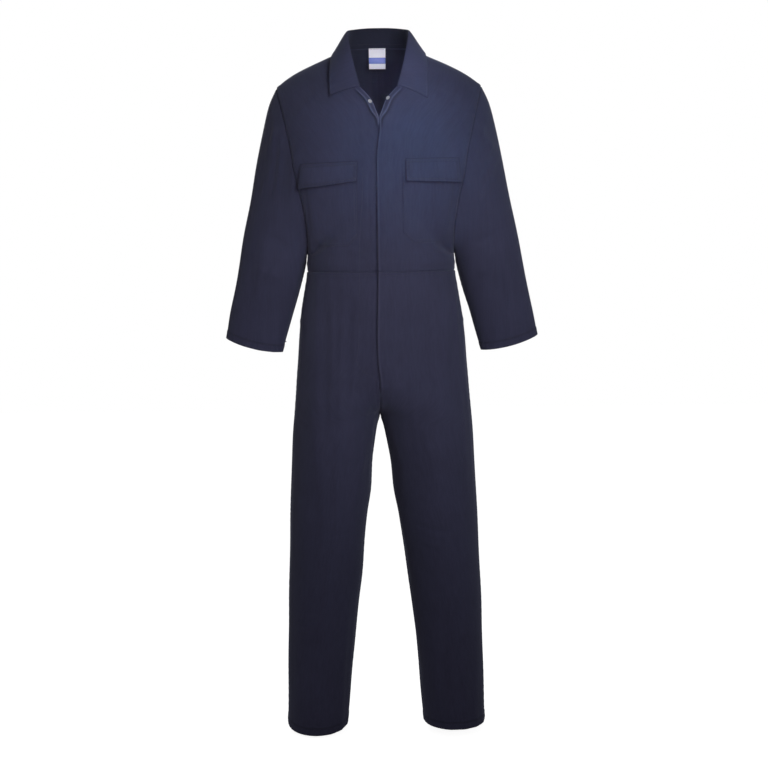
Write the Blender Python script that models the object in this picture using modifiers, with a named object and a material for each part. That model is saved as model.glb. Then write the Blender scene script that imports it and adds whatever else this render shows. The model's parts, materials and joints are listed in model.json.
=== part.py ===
# A long-sleeved boiler suit, filled out with no wearer, in metres with +Z up.
# It faces -Y, the wearer's left is +X, and the origin is at the base of the neck, between the shoulders.
# The tables below are in millimetres. Each cloth piece is a thin wall between two lofted skins.
import math
from collections import namedtuple

import bpy
import numpy as np
from mathutils import Vector
from mathutils.bvhtree import BVHTree
from mathutils.kdtree import KDTree

MM = 0.001
WALL = 1.6  # the cloth, doubled at its seams, as one wall
SEAM_GAP = 0.3  # between two pieces that are sewn together
LAP = 1.6  # how far each front stands off the middle surface where they cross
OVERLAP_LEFT = 8.0  # how far the left front runs over the centre line
UNDERLAP_RIGHT = 28.0  # how far the right front runs under it
FULL = 0.6  # handle length of a quarter round, a little squarer than an ellipse
HALF_ROUND = 4.0 / 3.0  # handle length of a half round
TURN_UNDER = 0.58  # keeps a leg's full depth while the rise seam turns under to the crotch
ARMHOLE_HANDLE = 38.0  # how far a bodice runs straight on from the armhole
ARMHOLE_FULLER = 10.0  # and how much further at the armhole's middle
STEEPEST = 11.0 / 12.0  # of the half turn to the underarm, past which the bodice turns to the side seam
SHOULDER_HANDLE = 0.27  # share of a row's width in which it bends to the shoulder
SHOULDER_FADE_ROW = 5
INNER_DROP = 0.3  # share of a row's fall that its inner handle takes
FRONT_LEAD = 0.33  # share of a row's width that its inner handle takes at the shoulder, front and back
BACK_LEAD = 0.48
EDGE_BULGE = 5.0  # how far a front stands forward beside its open edge, in full from this x on
EDGE_BULGE_X = 45.0
EDGE_BULGE_ROWS = 3
UNDERARM_DIP = 22.0  # how far the rows below the underarm hang between the side seam and the middle

# Columns of a front panel from its inner edge to its side seam. The first one is the turned edge strip.
FRONT_COLUMNS = (0.0, 0.047, 0.11, 0.19, 0.28, 0.37, 0.46, 0.55, 0.65, 0.75, 0.87, 1.0)
NECK_COLUMNS = 4  # of the back, from the centre to the shoulder seam
NECK_SHARE = 0.25
BODICE_ROWS = 16
ARMHOLE_ROWS = 12
LEG_ROWS = 20
SLEEVE_ROWS = 12

# Inner edge of a front bodice: down the neck seam, down the open front, then down the centre line.
FrontEdge = namedtuple("FrontEdge", "row x y z")
FRONT_EDGE = (
    FrontEdge(0, 74, 8, 6),
    FrontEdge(1, 78, -14, -7),
    FrontEdge(2, 75, -38, -28),
    FrontEdge(3, 64, -65, -54),
    FrontEdge(4, 45, -90, -82),
    FrontEdge(5, 22, -101, -111),
    FrontEdge(6, 9.5, -109, -136),
    FrontEdge(7, 0, -115, -157),
    FrontEdge(8, 0, -120, -194),
    FrontEdge(10, 0, -128, -275),
    FrontEdge(12, 0, -130, -375),
    FrontEdge(14, 0, -126, -437),
    FrontEdge(16, 0, -122, -490),
)
NECK_END_ROW = 4
CROSSING_ROW = 7
CROSSING_ROWS = 2.5  # below the crossing, in which the lap grows to its full width

# Centre line of the back bodice.
BackEdge = namedtuple("BackEdge", "row y z")
BACK_EDGE = (
    BackEdge(0, 64, 14),
    BackEdge(2, 84, -38),
    BackEdge(4, 103, -105),
    BackEdge(6, 117, -185),
    BackEdge(9, 124, -290),
    BackEdge(12, 119, -385),
    BackEdge(14, 112, -438),
    BackEdge(16, 105, -490),
)
NECK_POINT = Vector((74, 8, 6))
BACK_NECK = ((0, 64, 14), (38, 64, 14), (72, 38, 9))  # its curve, from the centre to the neck point
TOP_FADE_ROWS = 4.0  # in which the back's top edge blends into its rows

# Rings of a sleeve, from the armhole to the cuff: its outer line, its inner line and its depths.
SleeveRing = namedtuple("SleeveRing", "outer_x outer_z inner_x inner_z front back middle scoop low_scoop")
SLEEVE = (
    SleeveRing(230, -79, 166, -446, 86, 84, 0, 10, 24),
    SleeveRing(249, -119, 169.5, -458, 85, 85, 9, 6, 12),
    SleeveRing(265, -178, 171.5, -471, 82, 83, 17, 3, 4),
    SleeveRing(279, -243, 175, -487, 78, 79, 21, 1, 0),
    SleeveRing(295, -326, 182, -514, 71, 72, 22, 0, 0),
    SleeveRing(314, -416, 194.5, -558, 62, 63, 20, 0, 0),
    SleeveRing(333, -517, 210, -610, 52, 53, 17, 0, 0),
    SleeveRing(348, -590, 221, -647, 46, 46, 14, 0, 0),
    SleeveRing(357, -641, 229, -674, 42, 42, 12, 0, 0),
)
CUFF_DIP = 6.0  # the cuff hangs lower in the middle than at its two folds

# The trunk below the waist seam and the legs: side seam, inseam and depths at each height.
Girth = namedtuple("Girth", "z side inseam front back")
GIRTHS = (
    Girth(-490, 167, 0, 122, 105),
    Girth(-512, 171, 0, 123, 109),
    Girth(-557, 179, 0, 123, 118),
    Girth(-603, 186, 0, 123, 126),
    Girth(-649, 189.5, 0, 122, 133),
    Girth(-695, 192.5, 0, 120, 137),
    Girth(-741, 197, 0, 118, 137),
    Girth(-787, 201, 0, 117, 134),
    Girth(-834, 205, 7, 117, 128),
    Girth(-857, 206.5, 10, 117, 124),
    Girth(-904, 209, 20, 115, 117),
    Girth(-974, 213, 25, 112, 111),
    Girth(-1021, 215, 31, 109, 108),
    Girth(-1068, 217, 40, 106, 104),
    Girth(-1163, 221, 49.5, 99, 98),
    Girth(-1258, 225, 62, 92, 92),
    Girth(-1355, 227, 73, 87, 87),
    Girth(-1451, 229, 81, 83, 84),
    Girth(-1545, 231, 89.5, 80, 82),
)

# Rows of a leg panel: heights at its inner and outer edges, and how deep the rise seam lies.
LegRow = namedtuple("LegRow", "row inner_z outer_z front_y back_y")
LEG_TABLE = (
    LegRow(0, -490, -490, -122, 105),
    LegRow(1, -540, -540, -123, 115),
    LegRow(2, -590, -590, -123, 124),
    LegRow(3, -640, -640, -122, 132),
    LegRow(4, -690, -690, -120, 137),
    LegRow(5, -738, -738, -117, 136),
    LegRow(6, -778, -781, -90, 117),
    LegRow(7, -806, -814, -50, 68),
    LegRow(8, -817, -844, 4, 4),
    LegRow(9, -846, -875, 2, 2),
    LegRow(10, -884, -910, 0, 0),
    LegRow(11, -930, -950, 0, 0),
    LegRow(12, -985, -998, 0, 0),
    LegRow(13, -1050, -1056, 0, 0),
    LegRow(14, -1120, -1122, 0, 0),
    LegRow(15, -1190, -1190, 0, 0),
    LegRow(16, -1260, -1260, 0, 0),
    LegRow(17, -1330, -1330, 0, 0),
    LegRow(18, -1400, -1400, 0, 0),
    LegRow(19, -1472, -1472, 0, 0),
    LegRow(20, -1545, -1545, 0, 0),
)
FLY_END_ROW = 5
FLY_CLOSING_ROWS = 1.5  # above the fly's end, in which the lap narrows to nothing
CROTCH_ROW = 8
INSEAM_FLAT_ROW = 10  # from here down the inseam lies in the middle of the leg's depth

# The crotch and the inside of the legs lie a little to the wearer's right of the neck.
Lean = namedtuple("Lean", "z x")
LEAN = (
    Lean(-490, 0),
    Lean(-741, -5),
    Lean(-817, -6),
    Lean(-904, -4),
    Lean(-1021, -3),
    Lean(-1163, 0),
    Lean(-1545, -1),
)

# The largest folds. Each is a soft ridge, or a trough where its height is negative, along a straight line
# from one x and z to another on the front or the back of the garment.
FACING = (0.25, 0.75)  # how squarely the cloth faces front or back, from no fold to the full fold
FOLD_ENDS = (-0.15, 0.3)  # shares of its length in which a fold rises from nothing
Fold = namedtuple("Fold", "face start end height width")
FOLDS = (
    Fold("front", (150, -560), (128, -1010), 2.6, 18),
    Fold("front", (98, -700), (112, -1190), 2.2, 16),
    Fold("front", (-158, -590), (-132, -1060), 3.2, 16),
    Fold("front", (-104, -660), (-112, -1240), 3.0, 15),
    Fold("front", (16, -765), (96, -690), 1.2, 15),
    Fold("front", (18, -800), (104, -860), 1.4, 16),
    Fold("front", (-28, -765), (-104, -700), 1.2, 15),
    Fold("front", (-30, -800), (-112, -880), 1.4, 16),
    Fold("front", (62, -1130), (122, -1210), -1.6, 18),
    Fold("front", (-70, -1150), (-124, -1230), -1.6, 18),
    Fold("front", (150, -1010), (196, -960), -1.6, 16),
    Fold("front", (-150, -1040), (-198, -985), -1.6, 16),
    Fold("front", (214, -175), (258, -228), 4.0, 12),
    Fold("front", (-214, -172), (-256, -240), 4.0, 12),
    Fold("front", (206, -430), (262, -402), -4.0, 12),
    Fold("front", (-206, -440), (-258, -414), -4.0, 12),
    Fold("front", (222, -500), (286, -470), 4.0, 12),
    Fold("front", (-222, -508), (-284, -480), 4.0, 12),
    Fold("front", (176, -200), (196, -330), 3.0, 10),
    Fold("front", (-176, -196), (-196, -336), 3.0, 10),
    Fold("front", (96, -470), (140, -380), 3.0, 14),
    Fold("front", (-96, -466), (-142, -372), 3.0, 14),
    Fold("back", (60, -470), (120, -360), 4.5, 14),
    Fold("back", (-64, -474), (-118, -368), 4.5, 14),
    Fold("back", (18, -476), (34, -350), 3.5, 13),
    Fold("back", (-22, -478), (-30, -356), 3.5, 13),
    Fold("back", (168, -190), (150, -330), 4.5, 13),
    Fold("back", (-168, -186), (-150, -336), 4.5, 13),
    Fold("back", (20, -800), (108, -742), 4.5, 12),
    Fold("back", (-30, -800), (-112, -748), 4.5, 12),
    Fold("back", (24, -826), (116, -884), 4.5, 12),
    Fold("back", (-34, -826), (-118, -890), 4.5, 12),
    Fold("back", (70, -1120), (160, -1160), -4.0, 14),
    Fold("back", (-72, -1130), (-162, -1172), -4.0, 14),
    Fold("back", (78, -1190), (166, -1216), 4.0, 13),
    Fold("back", (-82, -1202), (-166, -1226), 4.0, 13),
    Fold("back", (128, -900), (134, -1080), 3.5, 15),
    Fold("back", (-130, -910), (-134, -1090), 3.5, 15),
    Fold("back", (222, -420), (280, -452), -4.0, 12),
    Fold("back", (-222, -426), (-280, -460), -4.0, 12),
    Fold("back", (234, -516), (300, -536), 4.0, 12),
    Fold("back", (-234, -520), (-300, -542), 4.0, 12),
)

LAP_FADE_X = (45.0, 95.0)  # the lap's stand-off fades out between these
FOLDED_TO_FLAT = (0.3, 0.8)  # cosine between two sewn pieces, from folded face to face to lying flat
TURN_DEPTH = 10.0  # the open front edges are turned in this far, which shows as a narrow strip

# Half of the collar, from the centre back to the front end: neck seam, roll line and leaf edge.
CollarStation = namedtuple("CollarStation", "seam roll edge")
COLLAR = (
    CollarStation((0, 64, 14), (0, 73, 62), (0, 84, 2)),
    CollarStation((22, 62.5, 13.6), (21, 71, 61.5), (32, 82, 2)),
    CollarStation((43, 54, 12), (40, 62, 59), (62, 73, 3)),
    CollarStation((60, 40, 10), (55, 46, 55), (84, 54, 2)),
    CollarStation((70, 24, 8), (64, 27, 51), (97, 30, 0)),
    CollarStation((74, 8, 6), (68, 6, 46), (102, 6, -4)),
    CollarStation((78, -14, -7), (67, -16, 34), (106, -22, -12)),
    CollarStation((75, -38, -28), (63, -44, 8), (108, -54, -36)),
    CollarStation((64, -65, -54), (56, -70, -30), (109, -80, -71)),
    CollarStation((45, -90, -82), (43, -97, -82), (107, -95, -110)),
)
COLLAR_STEPS = 2  # stations made between two rows of the table
COLLAR_LIFT = 1.3  # its lower edge stands this far off the neck seam
STAND_STEPS = 3
LEAF_STEPS = 5
ROLL_RADIUS = 4.5
LEAF_GAP = 2.6  # from the leaf's underside to the cloth below it
STAND_HANDLE = 0.4  # shares of the stand's and the leaf's length that their curves' handles take
LEAF_HANDLE = 0.35
ROLL_HANDLE = 1.6  # in roll radii
OUTWARD_RISE = 0.3  # how much of the leaf's slope its outward direction keeps
TIP_DROP = 4.0  # the left tip hangs lower than the right one

# Chest pockets: the bag's sides and bottom, and the flap's corners, for each side.
Pocket = namedtuple("Pocket", "name side flap_inner flap_outer flap_top flap_bottom flap_skew bag_bottom")
POCKETS = (
    Pocket("right", -1, 51, 178, -249, -302, 4, -434),
    Pocket("left", 1, 54, 178, -241, -296, -2, -428),
)
BAG_INNER = 50.0
BAG_OUTER = 169.0
BAG_NARROWING = 15.0  # how much its outer side slants in, from top to bottom
BAG_COLUMNS = 8
BAG_ROWS = 8
BAG_CORNER = 22.0  # the cut lower corners
BAG_TOP_BELOW_FLAP_TOP = 14.0
BAG_GAP = 0.6
CLEAR_ROUNDS = 4
CLEAR_SAMPLES = ((0.5, 0), (0, 0.5), (0.5, 0.5), (1, 0.5), (0.5, 1), (0.25, 0.25), (0.75, 0.75))
CLEAR_STEP = 1.1  # of what is lacking, in each round
RAY_START_Y = -400.0  # well in front of the garment
BAG_WALL = 1.3
FLAP_GAP = 3.2
FLAP_WALL = 1.8
FLAP_ROWS = 4
FLAP_CURL = 2.2  # the flap's lower edge stands off

LABEL_WIDTH = 38.0
LABEL_TOP = 13.0
LABEL_HEIGHT = 48.0
LABEL_Y = 57.5
LABEL_WALL = 1.0
LABEL_BOW = 2.0

# Press studs on the turned edge strips.
Stud = namedtuple("Stud", "name side x z")
STUDS = (
    Stud("press_stud_right", -1, 20.0, -120),
    Stud("press_stud_left", 1, 21.0, -114),
)
STUD_RADIUS = 4.6
STUD_HEIGHT = 1.8
STUD_GAP = 0.7
STUD_GUESS_Y = -97.0
STUD_RIM = 0.5


def clear_scene():
    for item in list(bpy.data.objects):
        bpy.data.objects.remove(item, do_unlink=True)


def make_material(name, colour, roughness, metallic=0.0):
    material = bpy.data.materials.new(name)
    material.use_nodes = True
    shader = material.node_tree.nodes["Principled BSDF"]
    shader.inputs["Base Color"].default_value = (*colour, 1.0)
    shader.inputs["Roughness"].default_value = roughness
    shader.inputs["Metallic"].default_value = metallic
    material.diffuse_color = (*colour, 1.0)
    return material


def smooth_step(low, high, value):
    t = np.clip((np.asarray(value, float) - low) / (high - low), 0.0, 1.0)
    return t * t * (3.0 - 2.0 * t)


def along(keys, values, at):
    """Smooth curve through a table's values, one for each key."""
    keys = np.asarray(keys, float)
    values = np.asarray(values, float)
    slopes = np.gradient(values, keys, axis=0)
    at = np.clip(np.asarray(at, float), keys[0], keys[-1])
    i = np.clip(np.searchsorted(keys, at, side="right") - 1, 0, len(keys) - 2)
    span = keys[i + 1] - keys[i]
    t = (at - keys[i]) / span
    if values.ndim > 1:
        span = span[..., None]
        t = t[..., None]
    start = (1 + 2 * t) * (1 - t) ** 2 * values[i] + t * (1 - t) ** 2 * span * slopes[i]
    end = t * t * (3 - 2 * t) * values[i + 1] + t * t * (t - 1) * span * slopes[i + 1]
    return start + end


def column(table, name, key, at):
    """One column of a table, read at any value of its key column, which may run down."""
    rows = sorted(table, key=lambda row: getattr(row, key))
    keys = [getattr(row, key) for row in rows]
    return along(keys, [getattr(row, name) for row in rows], at)


def bezier(p0, p1, p2, p3, t):
    t = t[..., None]
    return (1 - t) ** 3 * p0 + 3 * t * (1 - t) ** 2 * p1 + 3 * t * t * (1 - t) * p2 + t**3 * p3


def stack(x, y, z):
    return np.stack(np.broadcast_arrays(x, y, z), axis=-1).astype(float)


def unit(vectors):
    return vectors / np.maximum(np.linalg.norm(vectors, axis=-1, keepdims=True), 1e-9)


# ------------------------------------------------------------------ lofted surfaces of the cloth
def sleeve_point(side, angle, place):
    """Angle 0 is on the outer line, a quarter turn is at the front and a half turn is under the arm."""
    keys = np.arange(len(SLEEVE))
    ring = along(keys, SLEEVE, place * keys[-1])
    outer_x, outer_z, inner_x, inner_z, front, back, middle, scoop, low_scoop = np.moveaxis(ring, -1, 0)
    cos, sin = np.cos(angle), np.sin(angle)
    depth = np.where(sin > 0, front, back)
    dip = CUFF_DIP * smooth_step(0.75, 1.0, place) * sin**2
    hollow = scoop * np.clip(sin, 0, 1) ** 2 + low_scoop * (sin * np.clip(-cos, 0, 1)) ** 2
    x = (outer_x + inner_x) / 2 + (outer_x - inner_x) / 2 * cos - hollow
    z = (outer_z + inner_z) / 2 + (outer_z - inner_z) / 2 * cos - dip
    return stack(side * x, middle - depth * sin, z)


def outer_edge(side, face, row):
    """Outer edge of a bodice panel: round the armhole, then down the side seam. Face is -1 at the front."""
    angle = np.clip(row / ARMHOLE_ROWS, 0, 1) * math.pi
    armhole = sleeve_point(side, -face * angle, np.zeros_like(angle))
    below = np.clip((row - ARMHOLE_ROWS) / (BODICE_ROWS - ARMHOLE_ROWS), 0, 1)
    low = SLEEVE[0].inner_z
    z = low + (GIRTHS[0].z - low) * below
    x = SLEEVE[0].inner_x + (GIRTHS[0].side - SLEEVE[0].inner_x) * below
    seam = stack(side * x, np.zeros_like(z), z)
    return np.where((row <= ARMHOLE_ROWS)[..., None], armhole, seam)


def bodice_row(inner, outer, across, row, face, lead, bulge):
    """One crosswise curve. It meets the armhole squarely, and wraps round to the side seam below it."""
    step = outer - inner
    turn = smooth_step(SHOULDER_FADE_ROW, ARMHOLE_ROWS, row)
    angle = np.clip(row / ARMHOLE_ROWS, 0, STEEPEST) * math.pi
    tall = (SLEEVE[0].outer_z - SLEEVE[0].inner_z) / 2
    deep = SLEEVE[0].front
    away = unit(stack(0, np.sin(angle) / deep, np.cos(angle) / tall))
    length = ARMHOLE_HANDLE + ARMHOLE_FULLER * np.sin(angle)
    side_part = smooth_step(ARMHOLE_ROWS - 1, ARMHOLE_ROWS + 1, row)
    dip = UNDERARM_DIP * (1 - smooth_step(ARMHOLE_ROWS, BODICE_ROWS, row))
    wrap = FULL * np.abs(step[..., 1])
    out_y = (1 - side_part) * length * away[..., 1] + side_part * wrap
    out_z = (1 - side_part) * length * away[..., 2] - side_part * dip
    handle_in = stack(lead * step[..., 0], -bulge, INNER_DROP * step[..., 2])
    handle_out = stack(-SHOULDER_HANDLE * (1 - turn) * step[..., 0], face * out_y, out_z)
    return bezier(inner, inner + handle_in, outer + handle_out, outer, across)


def front_bodice(side, across, row):
    across, row = np.broadcast_arrays(np.asarray(across, float), np.asarray(row, float))
    inner = stack(
        side * np.maximum(column(FRONT_EDGE, "x", "row", row), 0.0),
        column(FRONT_EDGE, "y", "row", row),
        column(FRONT_EDGE, "z", "row", row),
    )
    outer = outer_edge(side, -1, row)
    lead = FRONT_LEAD + (FULL - FRONT_LEAD) * smooth_step(0, ARMHOLE_ROWS, row)
    past = OVERLAP_LEFT if side > 0 else UNDERLAP_RIGHT
    past = past * smooth_step(CROSSING_ROW, CROSSING_ROW + CROSSING_ROWS, row)
    start = -past / (3 * lead * np.abs(outer[..., 0]))
    place = start + (1 - start) * across
    bulge = EDGE_BULGE * smooth_step(0, EDGE_BULGE_X, np.abs(inner[..., 0]))
    bulge = bulge * smooth_step(0, EDGE_BULGE_ROWS, row)
    points = bodice_row(inner, outer, np.abs(place), row, -1, lead, bulge)
    points[..., 0] = np.where(place < 0, -points[..., 0], points[..., 0])
    return points


def back_bodice(side, across, row):
    across, row = np.broadcast_arrays(np.asarray(across, float), np.asarray(row, float))
    inner = stack(0, column(BACK_EDGE, "y", "row", row), column(BACK_EDGE, "z", "row", row))
    outer = outer_edge(side, 1, row)
    lead = BACK_LEAD + (FULL - BACK_LEAD) * smooth_step(0, ARMHOLE_ROWS, row)
    points = bodice_row(inner, outer, across, row, 1, lead, 0.0)
    # The top row follows the neck seam to the shoulder, then the shoulder seam.
    zero = np.zeros_like(row)
    low = bodice_row(
        stack(0, column(BACK_EDGE, "y", "row", zero), column(BACK_EDGE, "z", "row", zero)),
        outer_edge(side, 1, zero), across, zero, 1, BACK_LEAD, 0.0,
    )
    corners = [stack(side * x, y, z + zero) for x, y, z in (*BACK_NECK, NECK_POINT)]
    neck = bezier(*corners, np.clip(across / NECK_SHARE, 0, 1))
    shoulder = front_bodice(side, np.clip((across - NECK_SHARE) / (1 - NECK_SHARE), 0, 1), zero)
    top = np.where((across <= NECK_SHARE)[..., None], neck, shoulder)
    fade = np.clip(1 - row / TOP_FADE_ROWS, 0, 1) ** 2
    return points + (top - low) * fade[..., None]


def leg(side, face, across, row):
    """Front (face -1) or back (face 1) panel of a leg: down the rise, the crotch and the inseam."""
    across, row = np.broadcast_arrays(np.asarray(across, float), np.asarray(row, float))
    inner_z = column(LEG_TABLE, "inner_z", "row", row)
    outer_z = column(LEG_TABLE, "outer_z", "row", row)
    inner_y = column(LEG_TABLE, "front_y" if face < 0 else "back_y", "row", row)
    inner_y = np.where(row > INSEAM_FLAT_ROW, 0.0, inner_y)
    depth = column(GIRTHS, "front" if face < 0 else "back", "z", (inner_z + outer_z) / 2)
    depth = np.where(row <= FLY_END_ROW, np.abs(inner_y), depth)
    gap = np.where(row > CROTCH_ROW, column(GIRTHS, "inseam", "z", inner_z), 0.0)
    side_x = column(GIRTHS, "side", "z", outer_z)
    lean = column(LEAN, "x", "z", inner_z)
    under = np.clip(1 - np.abs(inner_y) / depth, 0, 1)
    reach = side_x - gap
    inner = stack(side * gap, inner_y, inner_z)
    outer = stack(side * side_x, 0, outer_z)
    handle_in = stack(side * (1 - under) * FULL * reach, face * under**TURN_UNDER * HALF_ROUND * depth, 0)
    round_out = FULL + (HALF_ROUND - FULL) * under
    handle_out = stack(0, face * round_out * depth, 0)
    past = np.zeros_like(row)
    if face < 0:
        past = OVERLAP_LEFT if side > 0 else UNDERLAP_RIGHT
        closed = 1 - smooth_step(FLY_END_ROW - FLY_CLOSING_ROWS, FLY_END_ROW, row)
        past = past * closed
    start = -past / (3 * FULL * reach)
    place = start + (1 - start) * across
    points = bezier(inner, inner + handle_in, outer + handle_out, outer, np.abs(place))
    points[..., 0] = np.where(place < 0, -points[..., 0], points[..., 0])
    points[..., 0] += lean * (1 - np.clip(place, 0, 1)) ** 2
    return points


def back_columns():
    neck = np.linspace(0, NECK_SHARE, NECK_COLUMNS + 1)
    rest = NECK_SHARE + (1 - NECK_SHARE) * np.array(FRONT_COLUMNS[1:])
    return np.concatenate([neck, rest])


def lay_out_skins():
    """The outer skin of each panel as a grid of points, rows first."""
    rows = np.arange(BODICE_ROWS + 1.0)[:, None]
    leg_rows = np.arange(LEG_ROWS + 1.0)[:, None]
    front = np.array(FRONT_COLUMNS)[None, :]
    back = back_columns()[None, :]
    angles = np.linspace(0, 2 * math.pi, 2 * ARMHOLE_ROWS, endpoint=False)[None, :]
    down = np.linspace(0, 1, SLEEVE_ROWS + 1)[:, None]
    skins = {}
    for side, name in ((-1, "right"), (1, "left")):
        skins["front_bodice_" + name] = front_bodice(side, front, rows)
        skins["front_leg_" + name] = leg(side, -1, front, leg_rows)
        skins["back_leg_" + name] = leg(side, 1, back, leg_rows)
        angle, place = np.broadcast_arrays(angles, down)
        skins["sleeve_" + name] = sleeve_point(side, angle, place)
    halves = [back_bodice(side, back, rows) for side in (-1, 1)]
    skins["back_bodice"] = np.concatenate([halves[0][:, :0:-1], halves[1]], axis=1)
    return skins


# ------------------------------------------------------------------ folds and laps
def grid_faces(rows, columns, closed=False):
    """Quads of a grid, looked at with its rows running down and its columns to the right."""
    faces = []
    for r in range(rows - 1):
        for c in range(columns if closed else columns - 1):
            d = (c + 1) % columns
            faces.append((r * columns + c, (r + 1) * columns + c, (r + 1) * columns + d, r * columns + d))
    return faces


def triangles(faces):
    """Each quad as the two triangles of its first diagonal, so that both skins of a wall bend alike."""
    return [half for a, b, c, d in faces for half in ((a, b, c), (a, c, d))]


def faces_outward(name):
    """Whether a panel's rows and columns already give faces that point out of the garment."""
    turned = {"front_bodice_right", "front_leg_right", "back_leg_left", "back_bodice", "sleeve_left"}
    return name not in turned


def skin_normals(skins, names):
    """Normals of these panels' skins, shared across the seams between them."""
    points, quads, sizes = [], [], []
    for name in names:
        rows, columns = skins[name].shape[:2]
        faces = np.array(grid_faces(rows, columns, name.startswith("sleeve")))
        quads.append((faces if faces_outward(name) else faces[:, ::-1]) + sum(sizes))
        points.append(skins[name].reshape(-1, 3))
        sizes.append(rows * columns)
    points = np.concatenate(points)
    quads = np.concatenate(quads)
    tree = KDTree(len(points))
    for i, point in enumerate(points):
        tree.insert(point, i)
    tree.balance()
    shared = np.array([min(i for _, i, _ in tree.find_range(p, 0.02)) for p in points])
    corners = points[quads]
    across = np.cross(corners[:, 2] - corners[:, 0], corners[:, 3] - corners[:, 1])
    normals = np.zeros_like(points)
    for corner in range(4):
        np.add.at(normals, shared[quads[:, corner]], across)
    parts = np.split(unit(normals)[shared], np.cumsum(sizes)[:-1])
    return {name: part.reshape(skins[name].shape) for name, part in zip(names, parts)}


def wall_normals(skins):
    """The way each wall's thickness runs: shared across a seam, but not where two pieces fold face to face.

    The second result is how far the edges there are drawn apart as well."""
    joined = skin_normals(skins, list(skins))
    normals, apart = {}, {}
    for group in ("bodice", "sleeve_right", "sleeve_left", "leg_right", "leg_left"):
        own = skin_normals(skins, [name for name in skins if group in name])
        for name, grid in own.items():
            agree = (grid * joined[name]).sum(axis=-1, keepdims=True)
            share = smooth_step(*FOLDED_TO_FLAT, agree)
            normals[name] = unit(share * joined[name] + (1 - share) * grid)
            apart[name] = -SEAM_GAP * (1 - share) * grid
    return normals, apart


def fold_height(points, normals):
    """Height of all the folds at each point, fading out where the cloth turns away from their face."""
    height = np.zeros(points.shape[:-1])
    for fold in FOLDS:
        face = -1 if fold.face == "front" else 1
        start = np.array(fold.start, float)
        line = np.array(fold.end, float) - start
        place = points[..., [0, 2]] - start
        t = place @ line / (line @ line)
        nearest = np.clip(t, 0, 1)[..., None] * line
        away = np.linalg.norm(place - nearest, axis=-1)
        facing = smooth_step(*FACING, face * normals[..., 1])
        ends = smooth_step(*FOLD_ENDS, t) * smooth_step(*FOLD_ENDS, 1 - t)
        height += fold.height * facing * ends * np.exp(-((away / fold.width) ** 2))
    return height


def lap_offset(name, points):
    """How far a front stands off the middle surface where the two fronts cross."""
    rows = np.arange(points.shape[0])[:, None]
    near = 1 - smooth_step(*LAP_FADE_X, np.abs(points[..., 0]))
    sign = 1 if name.endswith("left") else -1
    if name.startswith("front_bodice"):
        return sign * LAP * near * smooth_step(NECK_END_ROW - 1, NECK_END_ROW + 1, rows)
    return sign * LAP * near * (rows <= FLY_END_ROW)


def turn_in_edge(grid):
    """Bends the strip along an open front edge inwards."""
    rows = np.arange(grid.shape[0])
    amount = smooth_step(NECK_END_ROW, NECK_END_ROW + 1, rows)
    amount = amount * (1 - smooth_step(CROSSING_ROW - 1.2, CROSSING_ROW, rows))
    grid[:, 0, 1] += TURN_DEPTH * amount
    return grid


def shape_skins():
    skins = lay_out_skins()
    normals = skin_normals(skins, list(skins))
    shaped = {}
    for name, grid in skins.items():
        offset = fold_height(grid, normals[name])
        if name.startswith("front"):
            offset = offset + lap_offset(name, grid)
        shaped[name] = grid + normals[name] * offset[..., None]
        if name.startswith("front_bodice"):
            shaped[name] = turn_in_edge(shaped[name])
    return shaped, *wall_normals(shaped)


# ------------------------------------------------------------------ walls
def add_object(name, points, faces, material, collection):
    mesh = bpy.data.meshes.new(name)
    mesh.from_pydata([tuple(p) for p in points * MM], [], faces)
    mesh.materials.append(material)
    mesh.update()
    mesh.shade_smooth()
    mesh.set_sharp_from_angle(angle=math.radians(40))
    item = bpy.data.objects.new(name, mesh)
    collection.objects.link(item)
    return item


def wall(outer, inner, closed=False, turned=False):
    """Points and faces of a closed wall between two skins with the same grid."""
    rows, columns = outer.shape[:2]
    skin = rows * columns
    points = np.concatenate([outer.reshape(-1, 3), inner.reshape(-1, 3)])
    out = grid_faces(rows, columns, closed)
    faces = triangles(out)
    faces += [tuple(i + skin for i in face[::-1]) for face in faces]
    top = [c for c in range(columns)]
    bottom = [(rows - 1) * columns + c for c in range(columns)]
    if closed:
        for edge in (top + top[:1], (bottom + bottom[:1])[::-1]):
            faces += [(a, b, b + skin, a + skin) for a, b in zip(edge, edge[1:])]
    else:
        left = [r * columns for r in range(rows)]
        right = [r * columns + columns - 1 for r in range(rows)]
        edge = top + right[1:] + bottom[-2::-1] + left[-2::-1]
        faces += [(a, b, b + skin, a + skin) for a, b in zip(edge, edge[1:])]
    if turned:
        faces = [face[::-1] for face in faces]
    return points, faces


def seam_inset(outer, inner, name):
    """Draws each sewn edge back by half of the seam gap."""
    half = SEAM_GAP / 2
    closed = name.startswith("sleeve")
    for grid in (outer, inner):
        grid[0] += half * unit(grid[1] - grid[0])
        if not closed:
            grid[:, 0] += half * unit(grid[:, 1] - grid[:, 0])
            grid[:, -1] += half * unit(grid[:, -2] - grid[:, -1])
            if "bodice" in name:
                grid[-1] += half * unit(grid[-2] - grid[-1])


def add_panels(skins, normals, apart, material, collection):
    for name, grid in skins.items():
        outer = grid + apart[name]
        inner = outer - WALL * normals[name]
        seam_inset(outer, inner, name)
        points, faces = wall(outer, inner, name.startswith("sleeve"), not faces_outward(name))
        add_object(name, points, faces, material, collection)


# ------------------------------------------------------------------ what lies on the panels
def skin_tree(skins, names, turned=None):
    points, faces = [], []
    for name in names:
        grid = skins[name]
        halves = triangles(grid_faces(*grid.shape[:2], name.startswith("sleeve")))
        if turned or (turned is None and not faces_outward(name)):
            halves = [face[::-1] for face in halves]
        faces += [tuple(i + len(points) for i in face) for face in halves]
        points += [tuple(p) for p in grid.reshape(-1, 3)]
    return BVHTree.FromPolygons(points, faces)


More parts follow.
